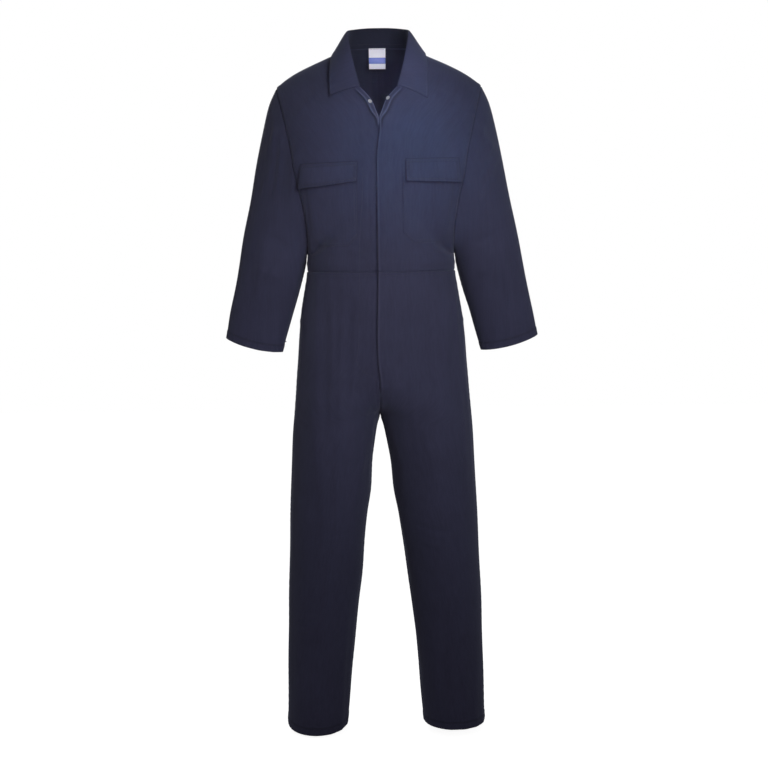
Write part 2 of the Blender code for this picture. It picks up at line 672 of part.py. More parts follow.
def laid_on(tree, xs, zs):
    """Points of the front skin behind each x and z, and smooth normals there."""
    hits = np.zeros((*xs.shape, 3))
    for index in np.ndindex(xs.shape):
        start = Vector((xs[index], RAY_START_Y, zs[index]))
        hits[index] = tree.ray_cast(start, Vector((0, 1, 0)))[0]
    down = np.gradient(hits, axis=0)
    right = np.gradient(hits, axis=1)
    normals = unit(np.cross(down, right))
    normals[normals[..., 1] > 0] *= -1
    return hits, normals


def stand_clear(tree, skin, normals, gap):
    """Moves a skin out along its normals until no cell of it comes nearer to the cloth below than the gap."""
    for _ in range(CLEAR_ROUNDS):
        push = np.zeros(skin.shape[:2])
        for r, c in np.ndindex(skin.shape[0] - 1, skin.shape[1] - 1):
            top, low = skin[r, c : c + 2], skin[r + 1, c : c + 2]
            for s, t in CLEAR_SAMPLES:
                point = (1 - t) * ((1 - s) * top[0] + s * top[1]) + t * ((1 - s) * low[0] + s * low[1])
                place, normal, _, _ = tree.find_nearest(Vector(point))
                lack = gap - (Vector(point) - place).dot(normal)
                push[r : r + 2, c : c + 2] = np.maximum(push[r : r + 2, c : c + 2], lack)
        skin = skin + CLEAR_STEP * push[..., None] * normals
    return skin


def add_pockets(skins, material, flap_material, collection):
    for pocket in POCKETS:
        tree = skin_tree(skins, ["front_bodice_" + pocket.name, "sleeve_" + pocket.name])
        share = np.linspace(0, 1, BAG_COLUMNS + 1)
        width = BAG_OUTER - BAG_NARROWING - BAG_INNER
        share[1] = BAG_CORNER / width
        share[-2] = 1 - share[1]
        t = np.linspace(0, 1, BAG_ROWS + 1)[:, None]
        xs = BAG_INNER + (width + BAG_NARROWING * (1 - t)) * share
        to_side = np.minimum(share, 1 - share) * width
        bottom = pocket.bag_bottom + np.maximum(0, BAG_CORNER - to_side)
        top = pocket.flap_top - BAG_TOP_BELOW_FLAP_TOP
        zs = top + (bottom - top) * t
        xs = pocket.side * xs
        turned = pocket.side < 0
        hits, normals = laid_on(tree, xs, zs)
        bag = stand_clear(tree, hits + BAG_GAP * normals, normals, BAG_GAP)
        top_skin = bag + BAG_WALL * normals
        points, faces = wall(top_skin, bag, turned=turned)
        add_object("pocket_bag_" + pocket.name, points, faces, material, collection)
        # The flap's two ends slant a little, and its lower edge stands off the bag.
        x = pocket.flap_inner + (pocket.flap_outer - pocket.flap_inner) * share
        t = np.linspace(0, 1, FLAP_ROWS + 1)[:, None]
        skew = pocket.flap_skew * (1 - share)
        zs = pocket.flap_top + (pocket.flap_bottom - pocket.flap_top) * t + skew[None, :]
        xs = np.broadcast_to(pocket.side * x[None, :], zs.shape)
        hits, normals = laid_on(tree, xs, zs)
        lift = np.broadcast_to(FLAP_GAP * smooth_step(0.0, 0.35, t) + BAG_GAP, zs.shape)
        lift = lift + FLAP_CURL * t**2
        below = {"bag": top_skin}
        flap = stand_clear(tree, hits + lift[..., None] * normals, normals, BAG_GAP)
        flap = stand_clear(skin_tree(below, ["bag"], turned), flap, normals, BAG_GAP)
        points, faces = wall(flap + FLAP_WALL * normals, flap, turned=turned)
        add_object("pocket_flap_" + pocket.name, points, faces, flap_material, collection)


def add_collar(skins, material, collection):
    names = [name for name in skins if "bodice" in name or "sleeve" in name]
    tree = skin_tree(skins, names)
    keys = np.arange(len(COLLAR))
    count = (len(COLLAR) - 1) * COLLAR_STEPS
    at = np.linspace(0, keys[-1], count + 1)
    seam = along(keys, [row.seam for row in COLLAR], at)
    roll = along(keys, [row.roll for row in COLLAR], at)
    edge = along(keys, [row.edge for row in COLLAR], at)
    halves = []
    for side in (-1, 1):
        flip = np.array([side, 1, 1])
        a, f, e = seam * flip, roll * flip, edge * flip
        drop = TIP_DROP / 2 * side * smooth_step(keys[-3], keys[-1], at)
        e[:, 2] -= drop
        out = e - a
        out[:, 2] *= OUTWARD_RISE
        out = unit(out)
        rise = f - a
        stand_t = np.linspace(0, 1, STAND_STEPS + 1)
        leaf_t = np.linspace(0, 1, LEAF_STEPS + 1)[1:]
        radius = np.minimum(ROLL_RADIUS, 0.5 * np.linalg.norm(rise, axis=-1, keepdims=True))
        stand = bezier(
            a[:, None], (a + STAND_HANDLE * rise)[:, None], (f - radius * out)[:, None], f[:, None],
            np.broadcast_to(stand_t, (len(at), len(stand_t))),
        )
        fall = e - f
        leaf = bezier(
            f[:, None], (f + ROLL_HANDLE * radius * out)[:, None], (e - LEAF_HANDLE * fall)[:, None], e[:, None],
            np.broadcast_to(leaf_t, (len(at), len(leaf_t))),
        )
        for index in np.ndindex(leaf.shape[:2]):
            point = Vector(leaf[index])
            place, normal, _, distance = tree.find_nearest(point)
            clear = (point - place).dot(normal)
            if clear < LEAF_GAP + WALL:
                leaf[index] = place + normal * (LEAF_GAP + WALL)
        halves.append(np.concatenate([stand, leaf], axis=1))
    grid = np.concatenate([halves[0][:0:-1], halves[1]], axis=0)
    along_s = np.gradient(grid, axis=0)
    across = np.gradient(grid, axis=1)
    normals = unit(np.cross(along_s, across))
    # The neck side of the stand faces inwards, and the leaf's upper side outwards.
    lifted = grid.copy()
    lifted[:, 0] += COLLAR_LIFT * unit(grid[:, 1] - grid[:, 0])
    outer = lifted + 0.5 * WALL * normals
    inner = lifted - 0.5 * WALL * normals
    points, faces = wall(outer, inner)
    add_object("collar", points, faces, material, collection)


def add_label(material, collection):
    x = np.linspace(-LABEL_WIDTH / 2, LABEL_WIDTH / 2, 5)[None, :]
    t = np.linspace(0, 1, 5)[:, None]
    z = LABEL_TOP - LABEL_HEIGHT * t
    y = LABEL_Y - LABEL_BOW * np.sin(t * math.pi) + 0.0 * x
    outer = stack(x + 0 * t, y, z + 0 * x)
    inner = outer + np.array([0, LABEL_WALL, 0])
    points, faces = wall(outer, inner)
    add_object("neck_label", points, faces, material, collection)


def add_studs(skins, material, collection):
    for stud in STUDS:
        name = "front_bodice_" + ("left" if stud.side > 0 else "right")
        tree = skin_tree(skins, [name])
        guess = Vector((stud.side * stud.x, STUD_GUESS_Y, stud.z))
        place, normal, _, _ = tree.find_nearest(guess)
        centre = place + normal * (STUD_GAP + STUD_HEIGHT / 2)
        bpy.ops.mesh.primitive_cylinder_add(
            vertices=20, radius=STUD_RADIUS * MM, depth=STUD_HEIGHT * MM, location=centre * MM
        )
        item = bpy.context.object
        item.name = stud.name
        item.rotation_mode = "QUATERNION"
        item.rotation_quaternion = normal.to_track_quat("Z", "Y")
        bevel = item.modifiers.new("rounded rim", "BEVEL")
        bevel.width = STUD_RIM * MM
        bevel.segments = 2
        bevel.limit_method = "ANGLE"
        item.data.materials.append(material)
        item.data.shade_smooth()
        for owner in list(item.users_collection):
            owner.objects.unlink(item)
        collection.objects.link(item)


def build():
    clear_scene()
    collection = bpy.data.collections.new("boiler_suit")
    bpy.context.scene.collection.children.link(collection)
    twill = make_material("navy_twill", (0.032, 0.035, 0.066), 0.85)
    twill_collar = make_material("navy_twill_collar", (0.034, 0.038, 0.07), 0.85)
    twill_pocket = make_material("navy_twill_pocket", (0.036, 0.039, 0.072), 0.85)
    twill_flap = make_material("navy_twill_flap", (0.04, 0.044, 0.08), 0.85)
    satin = make_material("white_label_satin", (0.86, 0.84, 0.93), 0.5)
    steel = make_material("nickel_plated_brass", (0.75, 0.75, 0.76), 0.3, 1.0)
    skins, normals, apart = shape_skins()
    add_panels(skins, normals, apart, twill, collection)
    add_collar(skins, twill_collar, collection)
    add_pockets(skins, twill_pocket, twill_flap, collection)
    add_label(satin, collection)
    add_studs(skins, steel, collection)


build()
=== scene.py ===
# Boiler suit in navy work twill: cloth panels, pockets, collar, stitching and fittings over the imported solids.
# Faces -Y, +Z up, origin at the base of the neck. Tables are in millimetres.
import json
import math

import bpy
import numpy as np
from mathutils import Matrix, Vector
from mathutils.bvhtree import BVHTree
from mathutils.kdtree import KDTree

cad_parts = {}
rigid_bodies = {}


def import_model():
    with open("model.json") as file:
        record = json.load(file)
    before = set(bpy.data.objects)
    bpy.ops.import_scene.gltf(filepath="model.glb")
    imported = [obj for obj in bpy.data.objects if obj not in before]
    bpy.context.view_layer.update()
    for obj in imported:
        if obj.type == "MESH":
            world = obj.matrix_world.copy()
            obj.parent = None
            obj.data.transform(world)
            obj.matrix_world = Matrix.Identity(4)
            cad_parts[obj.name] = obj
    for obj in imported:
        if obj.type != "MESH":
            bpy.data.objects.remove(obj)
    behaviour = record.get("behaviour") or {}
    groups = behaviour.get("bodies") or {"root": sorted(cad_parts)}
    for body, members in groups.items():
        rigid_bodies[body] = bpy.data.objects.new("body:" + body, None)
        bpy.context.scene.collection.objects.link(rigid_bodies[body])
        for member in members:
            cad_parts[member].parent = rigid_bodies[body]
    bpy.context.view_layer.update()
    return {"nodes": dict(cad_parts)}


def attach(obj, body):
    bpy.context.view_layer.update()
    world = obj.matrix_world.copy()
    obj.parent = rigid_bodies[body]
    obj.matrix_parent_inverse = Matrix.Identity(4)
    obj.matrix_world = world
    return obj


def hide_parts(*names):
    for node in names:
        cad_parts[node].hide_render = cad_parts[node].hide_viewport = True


for ob in list(bpy.data.objects):
    bpy.data.objects.remove(ob, do_unlink=True)

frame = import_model()
mm = 0.001
print("frame loaded:", len(frame["nodes"]), "nodes")


# small maths
def smoothStep(low, high, value):
    t = np.clip((np.asarray(value, float) - low) / (high - low), 0.0, 1.0)
    return t * t * (3.0 - 2.0 * t)


def hump(value, width):
    return np.exp(-((value / width) ** 2))


def along(keys, values, at):
    # smooth curve through a table's values, one for each key
    keys, values = np.asarray(keys, float), np.asarray(values, float)
    slopes = np.gradient(values, keys, axis=0)
    at = np.clip(np.asarray(at, float), keys[0], keys[-1])
    i = np.clip(np.searchsorted(keys, at, side="right") - 1, 0, len(keys) - 2)
    span = keys[i + 1] - keys[i]
    t = (at - keys[i]) / span
    if values.ndim > 1:
        span, t = span[..., None], t[..., None]
    start = (1 + 2 * t) * (1 - t) ** 2 * values[i] + t * (1 - t) ** 2 * span * slopes[i]
    end = t * t * (3 - 2 * t) * values[i + 1] + t * t * (t - 1) * span * slopes[i + 1]
    return start + end


def column(table, name, key, at):
    # one column of a table, read at any value of its key column
    names = table[0]
    rows = sorted(table[1:], key=lambda row: row[names.index(key)])
    return along([row[names.index(key)] for row in rows], [row[names.index(name)] for row in rows], at)


def bezier(p0, p1, p2, p3, t):
    t = t[..., None]
    return (1 - t) ** 3 * p0 + 3 * t * (1 - t) ** 2 * p1 + 3 * t * t * (1 - t) * p2 + t**3 * p3


def stack(x, y, z):
    return np.stack(np.broadcast_arrays(x, y, z), axis=-1).astype(float)


def unit(vectors):
    return vectors / np.maximum(np.linalg.norm(vectors, axis=-1, keepdims=True), 1e-9)


def runAlong(points, axis=1):
    # the length so far along each row, or down each column
    step = np.linalg.norm(np.diff(points, axis=axis), axis=-1).cumsum(axis)
    return np.concatenate([np.zeros_like(np.take(step, [0], axis)), step], axis)


def readAt(at, run, values):
    # places or directions of one line, read at set distances along it
    return np.stack([np.interp(at, run, values[:, k]) for k in range(3)], -1)


# ---- the cut of the suit
cut = {
    "bodiceRows": 16, "armholeRows": 12, "legRows": 20, "crossingRow": 7, "flyEndRow": 5, "crotchRow": 8,
    "lap": 2.2, "overlapLeft": 8, "underlapRight": 28,  # the left front runs over the right one
    "full": 0.6, "halfRound": 4 / 3, "turnUnder": 0.58,  # handles of the crosswise curves
    "armholeHandle": 38, "armholeSwell": 10, "underarmDip": 22, "frontLead": 0.33, "backLead": 0.48,
    "chestBulge": 5.0, "bulgeFrom": 45, "neckShare": 0.25, "cuffDip": 6, "turnDepth": 10, "turnWidth": 10.5,
    "cloth": 1.3,  # thickness shown at an edge
    "tuck": 0.9, "tuckDepth": 0.9,  # how far a sewn edge runs past its seam, and under it
    "hemDip": 11,
}
frontEdge = (  # inner edge of a front: neck seam, open front, centre line
    ("row", "x", "y", "z"),
    (0, 74, 8, 6), (1, 78, -14, -7), (2, 75, -38, -28), (3, 64, -65, -54), (4, 45, -90, -82),
    (5, 18.5, -101, -111), (6, 6.5, -109, -138), (7, 0, -115, -160), (8, 0, -120, -194), (10, 0, -128, -275),
    (12, 0, -130, -375), (14, 0, -126, -437), (16, 0, -122, -490),
)
backEdge = (
    ("row", "y", "z"),
    (0, 64, 14), (2, 84, -38), (4, 103, -105), (6, 117, -185), (9, 124, -290), (12, 119, -385),
    (14, 112, -438), (16, 105, -490),
)
neckSeam = ((0, 64, 14), (38, 64, 14), (72, 38, 9), (74, 8, 6))  # back neck, the four points of its curve
sleeveRings = (  # outerX outerZ innerX innerZ front back middle scoop lowScoop, armhole to cuff
    (230, -79, 166, -446, 86, 84, 0, 10, 24),
    (249, -119, 169.5, -458, 85, 85, 9, 6, 12),
    (265, -178, 171.5, -471, 82, 83, 17, 3, 4),
    (279, -243, 175, -487, 78, 79, 21, 1, 0),
    (295, -326, 182, -514, 71, 72, 22, 0, 0),
    (314, -416, 194.5, -558, 62, 63, 20, 0, 0),
    (333, -517, 210, -610, 52, 53, 17, 0, 0),
    (348, -590, 221, -647, 46, 46, 14, 0, 0),
    (357, -641, 229, -674, 42, 42, 12, 0, 0),
)
girths = (  # trunk below the waist and legs
    ("z", "side", "inseam", "front", "back"),
    (-490, 167, 0, 122, 105), (-512, 171, 0, 123, 109), (-557, 179, 0, 123, 118), (-603, 186, 0, 123, 126),
    (-649, 189.5, 0, 122, 133), (-695, 192.5, 0, 120, 137), (-741, 197, 0, 118, 137), (-787, 201, 0, 117, 134),
    (-834, 205, 7, 117, 128), (-857, 206.5, 10, 117, 124), (-904, 209, 20, 115, 117), (-974, 213, 25, 112, 111),
    (-1021, 215, 31, 109, 108), (-1068, 217, 40, 106, 104), (-1163, 221, 49.5, 99, 98), (-1258, 225, 62, 92, 92),
    (-1355, 227, 73, 87, 87), (-1451, 229, 81, 83, 84), (-1545, 231, 89.5, 80, 82),
)
legTable = (
    ("row", "innerZ", "outerZ", "frontY", "backY"),
    (0, -490, -490, -122, 105), (1, -540, -540, -123, 115), (2, -590, -590, -123, 124), (3, -640, -640, -122, 132),
    (4, -690, -690, -120, 137), (5, -738, -738, -117, 136), (6, -778, -781, -90, 117), (7, -806, -814, -50, 68),
    (8, -817, -844, 4, 4), (9, -846, -875, 2, 2), (10, -884, -910, 0, 0), (11, -930, -950, 0, 0),
    (12, -985, -998, 0, 0), (13, -1050, -1056, 0, 0), (14, -1120, -1122, 0, 0), (15, -1190, -1190, 0, 0),
    (16, -1260, -1260, 0, 0), (17, -1330, -1330, 0, 0), (18, -1400, -1400, 0, 0), (19, -1472, -1472, 0, 0),
    (20, -1545, -1545, 0, 0),
)
lean = (("z", "x"), (-490, 0), (-741, -5), (-817, -6), (-904, -4), (-1021, -3), (-1163, 0), (-1545, -1))


def sleevePoint(side, angle, place):
    # angle 0 is the outer line, a quarter turn the front, a half turn the underarm
    ring = along(np.arange(len(sleeveRings)), sleeveRings, place * (len(sleeveRings) - 1))
    outerX, outerZ, innerX, innerZ, front, back, middle, scoop, lowScoop = np.moveaxis(ring, -1, 0)
    cos, sin = np.cos(angle), np.sin(angle)
    depth = np.where(sin > 0, front, back)
    dip = cut["cuffDip"] * smoothStep(0.75, 1.0, place) * sin**2
    hollow = scoop * np.clip(sin, 0, 1) ** 2 + lowScoop * (sin * np.clip(-cos, 0, 1)) ** 2
    x = (outerX + innerX) / 2 + (outerX - innerX) / 2 * cos - hollow
    z = (outerZ + innerZ) / 2 + (outerZ - innerZ) / 2 * cos - dip
    return stack(side * x, middle - depth * sin, z)


def outerEdge(side, face, row):
    angle = np.clip(row / cut["armholeRows"], 0, 1) * math.pi
    armhole = sleevePoint(side, -face * angle, np.zeros_like(angle))
    below = np.clip((row - cut["armholeRows"]) / (cut["bodiceRows"] - cut["armholeRows"]), 0, 1)
    lowX, lowZ = sleeveRings[0][2:4]
    waistZ, waistX = girths[1][:2]
    seam = stack(side * (lowX + (waistX - lowX) * below), np.zeros_like(below), lowZ + (waistZ - lowZ) * below)
    return np.where((row <= cut["armholeRows"])[..., None], armhole, seam)


def bodiceRow(inner, outer, across, row, face, lead, bulge):
    # one crosswise curve: square to the armhole, and round to the side seam below it
    last, full = cut["armholeRows"], cut["full"]
    step = outer - inner
    turn = smoothStep(5, last, row)
    angle = np.clip(row / last, 0, 11 / 12) * math.pi
    tall = (sleeveRings[0][1] - sleeveRings[0][3]) / 2
    away = unit(stack(0, np.sin(angle) / sleeveRings[0][4], np.cos(angle) / tall))
    length = cut["armholeHandle"] + cut["armholeSwell"] * np.sin(angle)
    sidePart = smoothStep(last - 1, last + 1, row)
    dip = cut["underarmDip"] * (1 - smoothStep(last, cut["bodiceRows"], row))
    outY = (1 - sidePart) * length * away[..., 1] + sidePart * full * np.abs(step[..., 1])
    outZ = (1 - sidePart) * length * away[..., 2] - sidePart * dip
    handleIn = stack(lead * step[..., 0], -bulge, 0.3 * step[..., 2])
    handleOut = stack(-0.27 * (1 - turn) * step[..., 0], face * outY, outZ)
    return bezier(inner, inner + handleIn, outer + handleOut, outer, across)


def mirrorPast(points, place):
    points[..., 0] = np.where(place < 0, -points[..., 0], points[..., 0])
    return points


def frontBodice(side, across, row):
    across, row = np.broadcast_arrays(np.asarray(across, float), np.asarray(row, float))
    x, y, z = (column(frontEdge, name, "row", row) for name in "xyz")
    inner = stack(side * np.maximum(x, 0.0), y, z)
    outer = outerEdge(side, -1, row)
    lead = cut["frontLead"] + (cut["full"] - cut["frontLead"]) * smoothStep(0, cut["armholeRows"], row)
    past = cut["overlapLeft"] if side > 0 else cut["underlapRight"]
    past = past * smoothStep(cut["crossingRow"], cut["crossingRow"] + 2.5, row)
    start = -past / (3 * lead * np.abs(outer[..., 0]))
    place = start + (1 - start) * across
    bulge = cut["chestBulge"] * smoothStep(0, cut["bulgeFrom"], np.abs(inner[..., 0])) * smoothStep(0, 3, row)
    return mirrorPast(bodiceRow(inner, outer, np.abs(place), row, -1, lead, bulge), place)


def backBodice(side, across, row):
    across, row = np.broadcast_arrays(np.asarray(across, float), np.asarray(row, float))
    zero, share = np.zeros_like(row), cut["neckShare"]
    inner = stack(0, column(backEdge, "y", "row", row), column(backEdge, "z", "row", row))
    lead = cut["backLead"] + (cut["full"] - cut["backLead"]) * smoothStep(0, cut["armholeRows"], row)
    points = bodiceRow(inner, outerEdge(side, 1, row), across, row, 1, lead, 0.0)
    # the top row follows the neck seam to the shoulder, then the shoulder seam
    curve = [stack(side * x, y, z + zero) for x, y, z in neckSeam]
    low = bodiceRow(curve[0], outerEdge(side, 1, zero), across, zero, 1, cut["backLead"], 0.0)
    neck = bezier(*curve, np.clip(across / share, 0, 1))
    shoulder = frontBodice(side, np.clip((across - share) / (1 - share), 0, 1), zero)
    top = np.where((across <= share)[..., None], neck, shoulder)
    return points + (top - low) * (np.clip(1 - row / 4.0, 0, 1) ** 2)[..., None]


def legPanel(side, face, across, row):
    across, row = np.broadcast_arrays(np.asarray(across, float), np.asarray(row, float))
    full, halfRound = cut["full"], cut["halfRound"]
    innerZ, outerZ = (column(legTable, name, "row", row) for name in ("innerZ", "outerZ"))
    innerY = column(legTable, "frontY" if face < 0 else "backY", "row", row)
    innerY = np.where(row > cut["crotchRow"] + 2, 0.0, innerY)
    depth = column(girths, "front" if face < 0 else "back", "z", (innerZ + outerZ) / 2)
    depth = np.where(row <= cut["flyEndRow"], np.abs(innerY), depth)
    gap = np.where(row > cut["crotchRow"], column(girths, "inseam", "z", innerZ), 0.0)
    sideX = column(girths, "side", "z", outerZ)
    under = np.clip(1 - np.abs(innerY) / depth, 0, 1)
    reach = sideX - gap
    inner, outer = stack(side * gap, innerY, innerZ), stack(side * sideX, 0, outerZ)
    handleIn = stack(side * (1 - under) * full * reach, face * under ** cut["turnUnder"] * halfRound * depth, 0)
    handleOut = stack(0, face * (full + (halfRound - full) * under) * depth, 0)
    past = np.zeros_like(row)
    if face < 0:
        closed = 1 - smoothStep(cut["flyEndRow"] - 1.5, cut["flyEndRow"], row)
        past = (cut["overlapLeft"] if side > 0 else cut["underlapRight"]) * closed
    start = -past / (3 * full * reach)
    place = start + (1 - start) * across
    points = mirrorPast(bezier(inner, inner + handleIn, outer + handleOut, outer, np.abs(place)), place)
    points[..., 0] += column(lean, "x", "z", innerZ) * (1 - np.clip(place, 0, 1)) ** 2
    return points


def legSheet(side, face, across, keys):
    # the leg's whole rows, joined by smooth curves with no overshoot
    grid = legPanel(side, face, across, np.arange(cut["legRows"] + 1.0)[:, None])
    step = np.diff(grid, axis=0)
    agree = step[1:] * step[:-1] > 0
    slopes = np.concatenate([step[:1], np.zeros_like(step[1:]), step[-1:]])
    total = np.where(agree, step[1:] + step[:-1], 1)
    slopes[1:-1] = np.where(agree, 2 * step[1:] * step[:-1] / total, 0)
    i = np.clip(keys.astype(int), 0, cut["legRows"] - 1)
    t = (keys - i)[:, None, None]
    start = (1 + 2 * t) * (1 - t) ** 2 * grid[i] + t * (1 - t) ** 2 * slopes[i]
    return start + t * t * (3 - 2 * t) * grid[i + 1] + t * t * (t - 1) * slopes[i + 1]


# ---- grids: even across, and fine beside the seams
weave = {
    "edgeZone": (0.15, 1.0, 2.0, 3.2, 4.4, 5.6, 6.8, 8.0, 9.2, 10.5, 11.8, 13.0, 14.5, 16.5),  # from a seam
    "hemZone": (0.0, 0.8, 2.0, 4.5, 8.0, 12.0, 16.0, 17.2, 18.2, 19.4, 21.0, 24.0),  # up from a hem's foot
    "across": 4.6, "denseColumns": 161, "bodiceStep": 0.125, "legStep": 0.085, "sleeveStep": 0.0098,
    "armholePlaces": (0.0, 0.003, 0.008, 0.016), "crotchRounds": 40,
    "bodiceRowTop": 35, "bodiceRowFoot": 11.2, "legRowTop": 50, "legRowFoot": 73,  # mm to a row there
}
hemZone = np.array(weave["hemZone"])[::-1]


def evenColumns(dense):
    # reads each row again at set distances from its two edges
    run = runAlong(dense)
    zone = np.array(weave["edgeZone"])
    count = int((run[:, -1].max() - 2 * zone[-1]) / weave["across"])
    points, fromIn = [], []
    for line, s in zip(dense, run):
        middle = np.linspace(zone[-1], s[-1] - zone[-1], count + 2)[1:-1]
        at = np.concatenate([zone, middle, s[-1] - zone[::-1]])
        points.append(readAt(at, s, line))
        fromIn.append(at)
    return np.array(points), np.array(fromIn), run[:, -1:] - np.array(fromIn)


def rowKeys(count, step, topRow, bottomRow, topZone, bottomZone):
    # rows spaced by step, with close ones at the top and bottom
    zone = np.array(weave["edgeZone"])
    top = zone[:topZone] / topRow
    bottom = count - zone[:bottomZone][::-1] / bottomRow if bottomZone else np.array([float(count)])
    middle = np.arange(1, int(count / step)) * step
    middle = middle[(middle > top[-1] + 0.4 * step) & (middle < bottom[0] - 0.4 * step)]
    return np.concatenate([top, middle, bottom])


def sleevePlaces(angles):
    # places down the sleeve, 0 to 1, close together at the armhole and in the hem
    cuffLength = 8 * (39 + 12 * np.cos(angles))  # mm to the whole of place, near the cuff
    high = np.concatenate([weave["armholePlaces"], np.arange(0.028, 0.90, weave["sleeveStep"])])
    high = high[:, None] + 0 * angles
    low = 1 - hemZone[:, None] / cuffLength
    between = high[-1:] + (low[:1] - high[-1:]) * np.linspace(0, 1, 8)[1:-1, None]
    return np.concatenate([high, between, low])


panels = {}


def keepPanel(name, points, fromIn, fromOut, closed=False):
    down = runAlong(points, 0)
    panels[name] = {"points": points, "fromIn": fromIn, "fromOut": fromOut, "down": down, "up": down[-1] - down,
                    "round": closed}


bodiceKeys = rowKeys(cut["bodiceRows"], weave["bodiceStep"], weave["bodiceRowTop"], weave["bodiceRowFoot"], 8, 9)
legKeys = rowKeys(cut["legRows"], weave["legStep"], weave["legRowTop"], weave["legRowFoot"], 9, 0)
legHem = cut["legRows"] - hemZone / weave["legRowFoot"]
legKeys = np.concatenate([legKeys[legKeys < legHem[0] - 0.04], legHem])
dense = np.linspace(0, 1, weave["denseColumns"])[None, :]
angles = np.linspace(0, 2 * math.pi, weave["denseColumns"])[None, :-1]
for side, name in ((-1, "right"), (1, "left")):
    keepPanel("front_bodice_" + name, *evenColumns(frontBodice(side, dense, bodiceKeys[:, None])))
    keepPanel("front_leg_" + name, *evenColumns(legSheet(side, -1, dense, legKeys)))
    keepPanel("back_leg_" + name, *evenColumns(legSheet(side, 1, dense, legKeys)))
    angle, place = np.broadcast_arrays(angles, sleevePlaces(angles))
    tube = sleevePoint(side, angle, place)
    around = runAlong(np.concatenate([tube, tube[:, :1]], 1))
    toSeam = np.abs(angle - math.pi) / math.pi * around[:, -1:] / 2
    keepPanel("sleeve_" + name, tube, around[:, :-1], toSeam, closed=True)
halves = [evenColumns(backBodice(side, dense, bodiceKeys[:, None])) for side in (-1, 1)]
keepPanel("back_bodice", *(np.concatenate([sign * right[:, :0:-1], left], 1)
                           for sign, right, left in zip((1, -1, 1), *halves)))
for name, panel in panels.items():
    if "leg" in name:  # evens out the turn below the crotch, away from the inseam
        points = panel["points"]
        share = 0.5 * smoothStep(4.5, 6.5, legKeys) * (1 - smoothStep(11, 13, legKeys))
        share = share[1:-1, None, None] * smoothStep(4, 26, panel["fromIn"])[1:-1, :, None]
        for _ in range(weave["crotchRounds"]):
            points[1:-1] += share * ((points[:-2] + points[2:]) / 2 - points[1:-1])
turned = {"front_bodice_right", "front_leg_right", "back_leg_left", "back_bodice", "sleeve_left"}  # faces run back
print("panels laid out:", len(panels))


# ---- normals, shared where two panels are sewn together
def gridNormals(points, flip, closed=False):
    if closed:
        wide = np.concatenate([points[:, -1:], points, points[:, :1]], 1)
        across = (wide[:, 2:] - wide[:, :-2])
    else:
        across = np.gradient(points, axis=1)
    normals = unit(np.cross(np.gradient(points, axis=0), across))
    return -normals if flip else normals


sharing = {"reach": 4.0, "fade": 14}


def edgesOf(panel):
    ends = [((0, slice(None)), "down"), ((-1, slice(None)), "up")]
    if not panel["round"]:
        ends += [((slice(None), 0), "in"), ((slice(None), -1), "out")]
    return ends


def shareNormals():
    places, owners, normals = [], [], []
    for number, panel in enumerate(panels.values()):
        for where, _ in edgesOf(panel):
            places += list(panel["points"][where])
            normals += list(panel["normals"][where])
            owners += [number] * len(panel["points"][where])
    tree = KDTree(len(places))
    for i, place in enumerate(places):
        tree.insert(place, i)
    tree.balance()
    for number, panel in enumerate(panels.values()):
        extra = np.zeros_like(panel["normals"])
        for where, way in edgesOf(panel):
            own = panel["normals"][where]
            joined = own.copy()
            for k, place in enumerate(panel["points"][where]):
                nearest = {}
                for _, i, away in tree.find_range(place, sharing["reach"]):
                    if owners[i] != number and away < nearest.get(owners[i], (math.inf, 0))[0]:
                        nearest[owners[i]] = (away, i)
                for _, i in nearest.values():
                    joined[k] += normals[i]
            change = unit(joined) - own
            distance = {"down": panel["down"], "up": panel["up"], "in": np.abs(panel["fromIn"]),
                        "out": panel["fromOut"]}[way]
            fade = hump(distance, sharing["fade"])[..., None]
            extra += fade * (change[None, :] if way in ("down", "up") else change[:, None])
        panel["shared"] = unit(panel["normals"] + extra)


for name, panel in panels.items():
    panel["normals"] = gridNormals(panel["points"], name in turned, panel["round"])
shareNormals()

